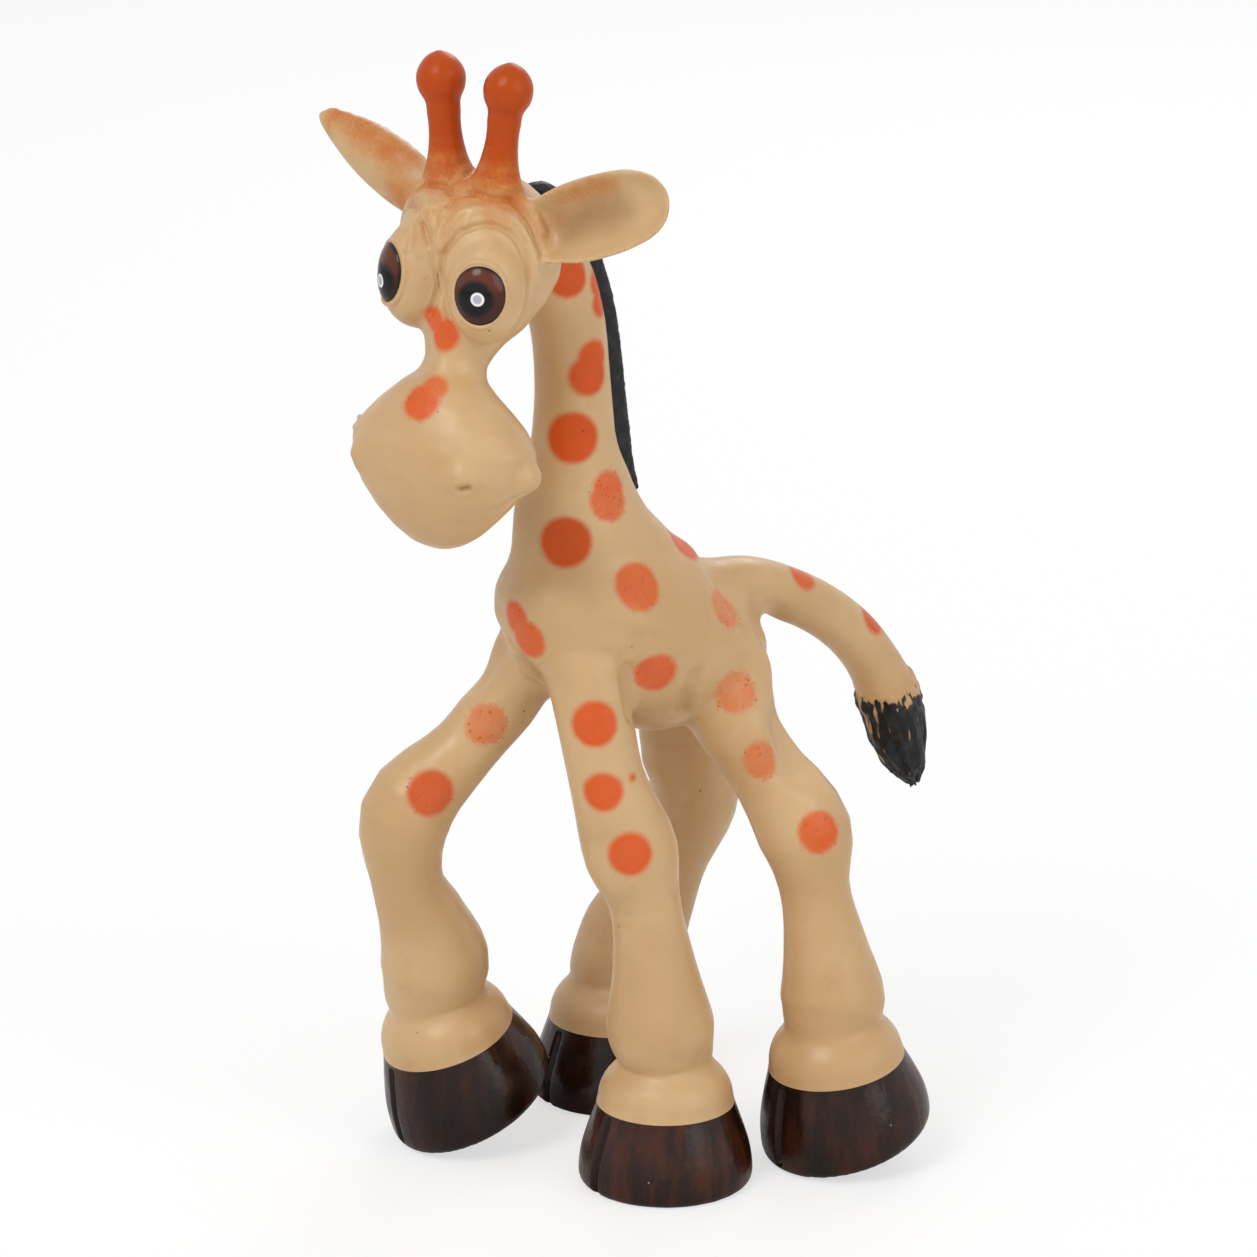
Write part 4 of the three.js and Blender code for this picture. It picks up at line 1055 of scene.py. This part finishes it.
def makeEye(side):
    frameMatrix = eyes[side]["matrix"]
    middle = frameMatrix @ Vector((*eyes[side]["oval"], 0)) + centring
    halfWidth, halfHeight = (half * toMetres for half in figure["eyeHalves"][:2])
    material, tree, shader, where = newMaterial("eye_paint_" + side)
    local = addNode(tree, "Mapping", {
        "Vector": where, "Location": middle * toMetres, "Rotation": frameMatrix.to_euler(),
    }, vector_type="TEXTURE").outputs[0]
    flat = addNode(tree, "VectorMath", {0: local, 1: (1.0, 1.0, 0.0)}, operation="MULTIPLY").outputs[0]
    shrink = (1 / halfWidth, 1 / halfHeight, 0.0)
    oval = addNode(tree, "VectorMath", {0: flat, 1: shrink}, operation="MULTIPLY").outputs[0]
    wobble = maths(tree, "MULTIPLY", maths(tree, "SUBTRACT", grain(tree, where, 900, 3), 0.5), 0.1)
    length = addNode(tree, "VectorMath", {0: oval}, operation="LENGTH").outputs["Value"]
    outward = maths(tree, "ADD", length, wobble)
    height = addNode(tree, "SeparateXYZ", {0: oval}).outputs[1]
    brushed = maths(tree, "ADD", height, maths(tree, "MULTIPLY", wobble, 4.0))
    lighter = remap(tree, brushed, -0.35, 0.6)
    colour = blendColours(tree, lighter, srgb(eyeLook["irisLow"]), srgb(eyeLook["iris"]))
    colour = blendColours(tree, remap(tree, outward, 0.87, 0.97), colour, srgb(eyeLook["rim"]))

    def disc(place, radius, blur):
        spot = (place[0] * toMetres, place[1] * toMetres, 0.0)
        away = addNode(tree, "VectorMath", {0: flat, 1: spot}, operation="DISTANCE").outputs["Value"]
        away = maths(tree, "ADD", away, maths(tree, "MULTIPLY", wobble, blur * toMetres))
        return remap(tree, away, (radius - blur) * toMetres, (radius + blur) * toMetres, 1.0, 0.0)

    for part, placeName in (("pupil", "pupilPlace"), ("glint", "glintPlace"), ("glintMiddle", "glintPlace")):
        radius, blur = eyeLook[part + "Size"]
        colour = blendColours(tree, disc(eyeLook[placeName][side], radius, blur), colour, srgb(eyeLook[part]))
    tree.links.new(colour, shader.inputs["Base Color"])
    shader.inputs["Roughness"].default_value = eyeLook["roughness"]
    shader.inputs["Specular IOR Level"].default_value = eyeLook["gloss"]
    relief = bump(tree, grain(tree, where, 700, 2), eyeLook["brushMarks"], 0.4)
    tree.links.new(relief, shader.inputs["Normal"])
    return material


skinMaterial = makeSkin()
hoofMaterial = makeHoof()
maneMaterial = makeMane()
print("materials ready")


def place(piece, name, nodes, slot, material):
    piece.data.materials.clear()
    piece.data.materials.append(material)
    if name in bends:
        parent, child = bends[name][3:5]
        start, end = (tuple(stop * toMetres) for stop in bendPlanes(name)[:2])
        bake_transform(piece)
        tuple(start)
        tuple(end)
    else:
        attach(piece, bodyFor.get(name, name))
    if nodes:
        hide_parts(*nodes)


for name, piece in skinPieces.items():
    pieceName, slotName, material = "skin_" + name, "skin", skinMaterial
    if name.endswith("_hoof"):
        pieceName, slotName, material = name + "_shell", "hoof_paint", hoofMaterial
    elif name.startswith("horn"):
        slotName = "horn_paint"
    closePiece(piece, pieceName)
    place(piece, name, nodesFor.get(name, [name]), slotName, material)
print("skin placed")

# eyes: a painted oval that stands a little proud of each lid
ovalRings = [0.04, 0.15, 0.3, 0.45, 0.6, 0.72, 0.82, 0.9, 0.95, 0.98, 1.0, 1.0]
ovalSides = 72
ovalSunk = 0.9  # the last ring goes this far into the lid
for sideName, eye in eyes.items():
    halfWidth, halfHeight, proud = figure["eyeHalves"]
    lidHalves = figure["lidHalves"]
    eyeBm = bmesh.new()
    before = None
    for i, share in enumerate(ovalRings):
        last = i == len(ovalRings) - 1

        def onLid(co, share=share, last=last):
            x = eye["oval"][0] + co.x * halfWidth * share
            y = eye["oval"][1] + co.y * halfHeight * share
            rise = lidHalves[2] * math.sqrt(max(1 - (x / lidHalves[0])**2 - (y / lidHalves[1])**2, 0.1))
            return Vector((x, y, rise + proud * (1 - share**8) - (ovalSunk if last else 0)))

        matrix = Matrix.Translation(centring) @ eye["matrix"]
        ring = set(addRing(eyeBm, matrix, ovalSides, onLid, capped=last or i == 0))
        if before:
            bmesh.ops.bridge_loops(eyeBm, edges=list(before | ring))
        before = ring
    bmesh.ops.recalc_face_normals(eyeBm, faces=eyeBm.faces)
    for f in eyeBm.faces:
        f.smooth = True
    bmesh.ops.scale(eyeBm, verts=eyeBm.verts, vec=Vector((toMetres,) * 3))
    oval = meshObject("eyeball_" + sideName, eyeBm)
    place(oval, "head", ["eye_" + sideName], "eye_paint", makeEye(sideName))

# mane: a ridged strip that follows the neck
print("combing the mane")
maneShape = {"step": 0.3, "sides": 40, "combed": 0.07, "fine": 0.05, "cutReach": 16}


def flatSection(co):
    return Vector((math.copysign(abs(co.x)**0.6, co.x), math.copysign(abs(co.y)**0.7, co.y), 0))


maneBm = bmesh.new()
tipStation = len(lines["mane"]) - 1
addTube(maneBm, "mane", 0, tipStation, chestward, flatSection, maneShape["step"], maneShape["sides"])
bmesh.ops.recalc_face_normals(maneBm, faces=maneBm.faces)
maneBm.normal_update()
for v in maneBm.verts:
    combed = noise.noise(Vector((v.co.x * 0.8, v.co.y * 1.4 + v.co.z * 1.1, v.co.z * 1.9)))
    v.co += v.normal * (maneShape["combed"] * combed + maneShape["fine"] * noise.noise(v.co * 2.9))
bmesh.ops.translate(maneBm, verts=maneBm.verts, vec=centring)
mane = meshObject("mane_strip", maneBm)
neckNames = ("neck_top", "neck_upper", "neck_middle", "neck_lower", "neck_base")
maneMarkers = {name: markers[name] for name in neckNames}
maneMarkers["head"] = Vector((1.0, -12.0, 132.0)) + centring
maneMarkers["torso"] = Vector((0.0, 3.0, 88.0)) + centring
maneCuts = []
for joint in ("neck_base", "neck_middle", "neck_top"):
    start, end, along = bendPlanes(joint)
    maneCuts += [(start, along, maneShape["cutReach"]), (end, along, maneShape["cutReach"])]
manePieces = separate(mane, maneCuts, maneMarkers)
print("mane pieces", len(manePieces))
for name, piece in manePieces.items():
    closePiece(piece, "mane_" + name)
    place(piece, name, ["mane"] if name == "neck_upper" else [], "mane_paint", maneMaterial)

# tuft of the tail
print("brushing the tuft")
tuftShape = {
    "start": 15.2, "step": 0.25, "sides": 96,
    "sinkLength": 2.4, "sinkDepth": 0.45,  # the root rises out of the tail's skin
    "strandTop": 55.5, "strandFade": 5,  # strands part below the root
    "strand": 0.8, "fine": 0.3, "lump": 0.35, "rootRise": 0.2,
    # more of the bare tan shows on the side turned towards the last direction
    "blackTop": 56.0, "barerSide": (-0.57, -0.8, 0.1),
}
tuftBm = bmesh.new()
start, tipStation = tuftShape["start"], len(lines["spine"]) - 1
addTube(tuftBm, "spine", start, tipStation, skyward, step=tuftShape["step"], sides=tuftShape["sides"])
bmesh.ops.recalc_face_normals(tuftBm, faces=tuftBm.faces)
tuftBm.normal_update()
streaks = []
root, rootAlong = lineAt("spine", start), lineAlong("spine", start)
for v in tuftBm.verts:
    sunk = min(max(1 - (v.co - root).dot(rootAlong) / tuftShape["sinkLength"], 0.0), 1.0)
    lower = min(max((tuftShape["strandTop"] - v.co.z) / tuftShape["strandFade"], 0.0), 1.0)
    wave = v.normal.copy()
    strand = noise.noise(wave * 3.2 + Vector((0, 0, v.co.z * 0.04)))
    fine = noise.noise(wave * 8.0 + Vector((5, 0, v.co.z * 0.08)))
    lump = noise.noise(v.co * 0.9)
    parted = tuftShape["strand"] * strand + tuftShape["fine"] * fine
    raised = lower * parted + (1 - lower) * (tuftShape["lump"] * lump + tuftShape["rootRise"])
    v.co += v.normal * (raised * (1 - sunk) - tuftShape["sinkDepth"] * sunk)
    # more bare tan on the side of the tuft turned towards the given direction
    facing = v.normal.dot(Vector(tuftShape["barerSide"]))
    hair = noise.noise(wave * 14.0 + Vector((2, 0, v.co.z * 0.12)))
    unpainted = max(v.co.z - tuftShape["blackTop"] + 1.8 * lump, 0) * 0.8
    bare = fine * 1.1 + hair * 1.1 - 0.42 + 0.55 * max(facing, 0) + unpainted
    streaks.append(min(max(bare, 0.0), 1.0))
bmesh.ops.translate(tuftBm, verts=tuftBm.verts, vec=centring)
bmesh.ops.scale(tuftBm, verts=tuftBm.verts, vec=Vector((toMetres,) * 3))
for f in tuftBm.faces:
    f.smooth = True
tuft = meshObject("tail_tuft_brush", tuftBm)
layer = tuft.data.attributes.new("streak", "FLOAT", "POINT")
layer.data.foreach_set("value", streaks)
place(tuft, "tail_end", ["tail_tuft"], "mane_paint", maneMaterial)

# floor, light and camera
stageLook = {
    "size": 6.0, "paper": (0.92, 0.92, 0.92, 1), "roughness": 0.9,
    "glow": 0.55, "glowStrength": 1.14,  # seen by the camera only
    "worldLight": 0.5,
}
floorBm = bmesh.new()
bmesh.ops.create_grid(floorBm, x_segments=1, y_segments=1, size=stageLook["size"] / 2)
floor = meshObject("floor", floorBm)
material, tree, shader, where = newMaterial("floor_paper")
shader.inputs["Base Color"].default_value = stageLook["paper"]
shader.inputs["Roughness"].default_value = stageLook["roughness"]
shader.inputs["Specular IOR Level"].default_value = 0.0
rays = addNode(tree, "LightPath")
glow = addNode(tree, "Emission", {"Color": (1, 1, 1, 1), "Strength": stageLook["glowStrength"]})
amount = maths(tree, "MULTIPLY", rays.outputs["Is Camera Ray"], stageLook["glow"])
mixed = addNode(tree, "MixShader", {0: amount, 1: shader.outputs[0], 2: glow.outputs[0]})
output = next(n for n in tree.nodes if n.type == "OUTPUT_MATERIAL")
tree.links.new(mixed.outputs[0], output.inputs[0])
floor.data.materials.append(material)

world = bpy.data.worlds.new("studio")
bpy.context.scene.world = world
world.use_nodes = True
tree = world.node_tree
tree.nodes.clear()
rays = addNode(tree, "LightPath").outputs
reflected = maths(tree, "MAXIMUM", rays["Is Glossy Ray"], rays["Is Transmission Ray"])
seen = maths(tree, "MAXIMUM", rays["Is Camera Ray"], reflected)
level = remap(tree, seen, 0.0, 1.0, stageLook["worldLight"], 1.0, smooth=False)
background = addNode(tree, "Background", {"Color": (1, 1, 1, 1), "Strength": level})
addNode(tree, "OutputWorld", {"Surface": background.outputs[0]})

lamps = {
    "key": {"place": (0.25, -0.75, 0.85), "size": 0.55, "power": 4.2},
    "fill": {"place": (0.85, 0.25, 0.45), "size": 0.7, "power": 1.8},
    "back": {"place": (-0.5, 0.6, 0.7), "size": 0.6, "power": 2.2},
}
aimAt = Vector((0, 0, 0.075))
for name, lamp in lamps.items():
    data = bpy.data.lights.new(name, "AREA")
    data.shape = "DISK"
    data.size = lamp["size"]
    data.energy = lamp["power"]
    light = bpy.data.objects.new(name, data)
    light.location = lamp["place"]
    light.rotation_euler = (aimAt - light.location).to_track_quat("-Z", "Y").to_euler()
    bpy.context.scene.collection.objects.link(light)

photoView = {
    "place": (0.55333, -0.39124, 0.27966), "target": (0.004975, -0.007281, 0.075),
    "lens": 154.57, "sensor": 36,
}
cameraData = bpy.data.cameras.new("photo_camera")
cameraData.sensor_width = photoView["sensor"]
cameraData.sensor_fit = "HORIZONTAL"
cameraData.lens = photoView["lens"]
camera = bpy.data.objects.new("photo_camera", cameraData)
camera.location = photoView["place"]
aim = Vector(photoView["target"]) - camera.location
camera.rotation_euler = aim.to_track_quat("-Z", "Y").to_euler()
bpy.context.scene.collection.objects.link(camera)
bpy.context.scene.camera = camera
bpy.context.scene.view_settings.view_transform = "Standard"
print("stage ready")

bpy.context.view_layer.update()
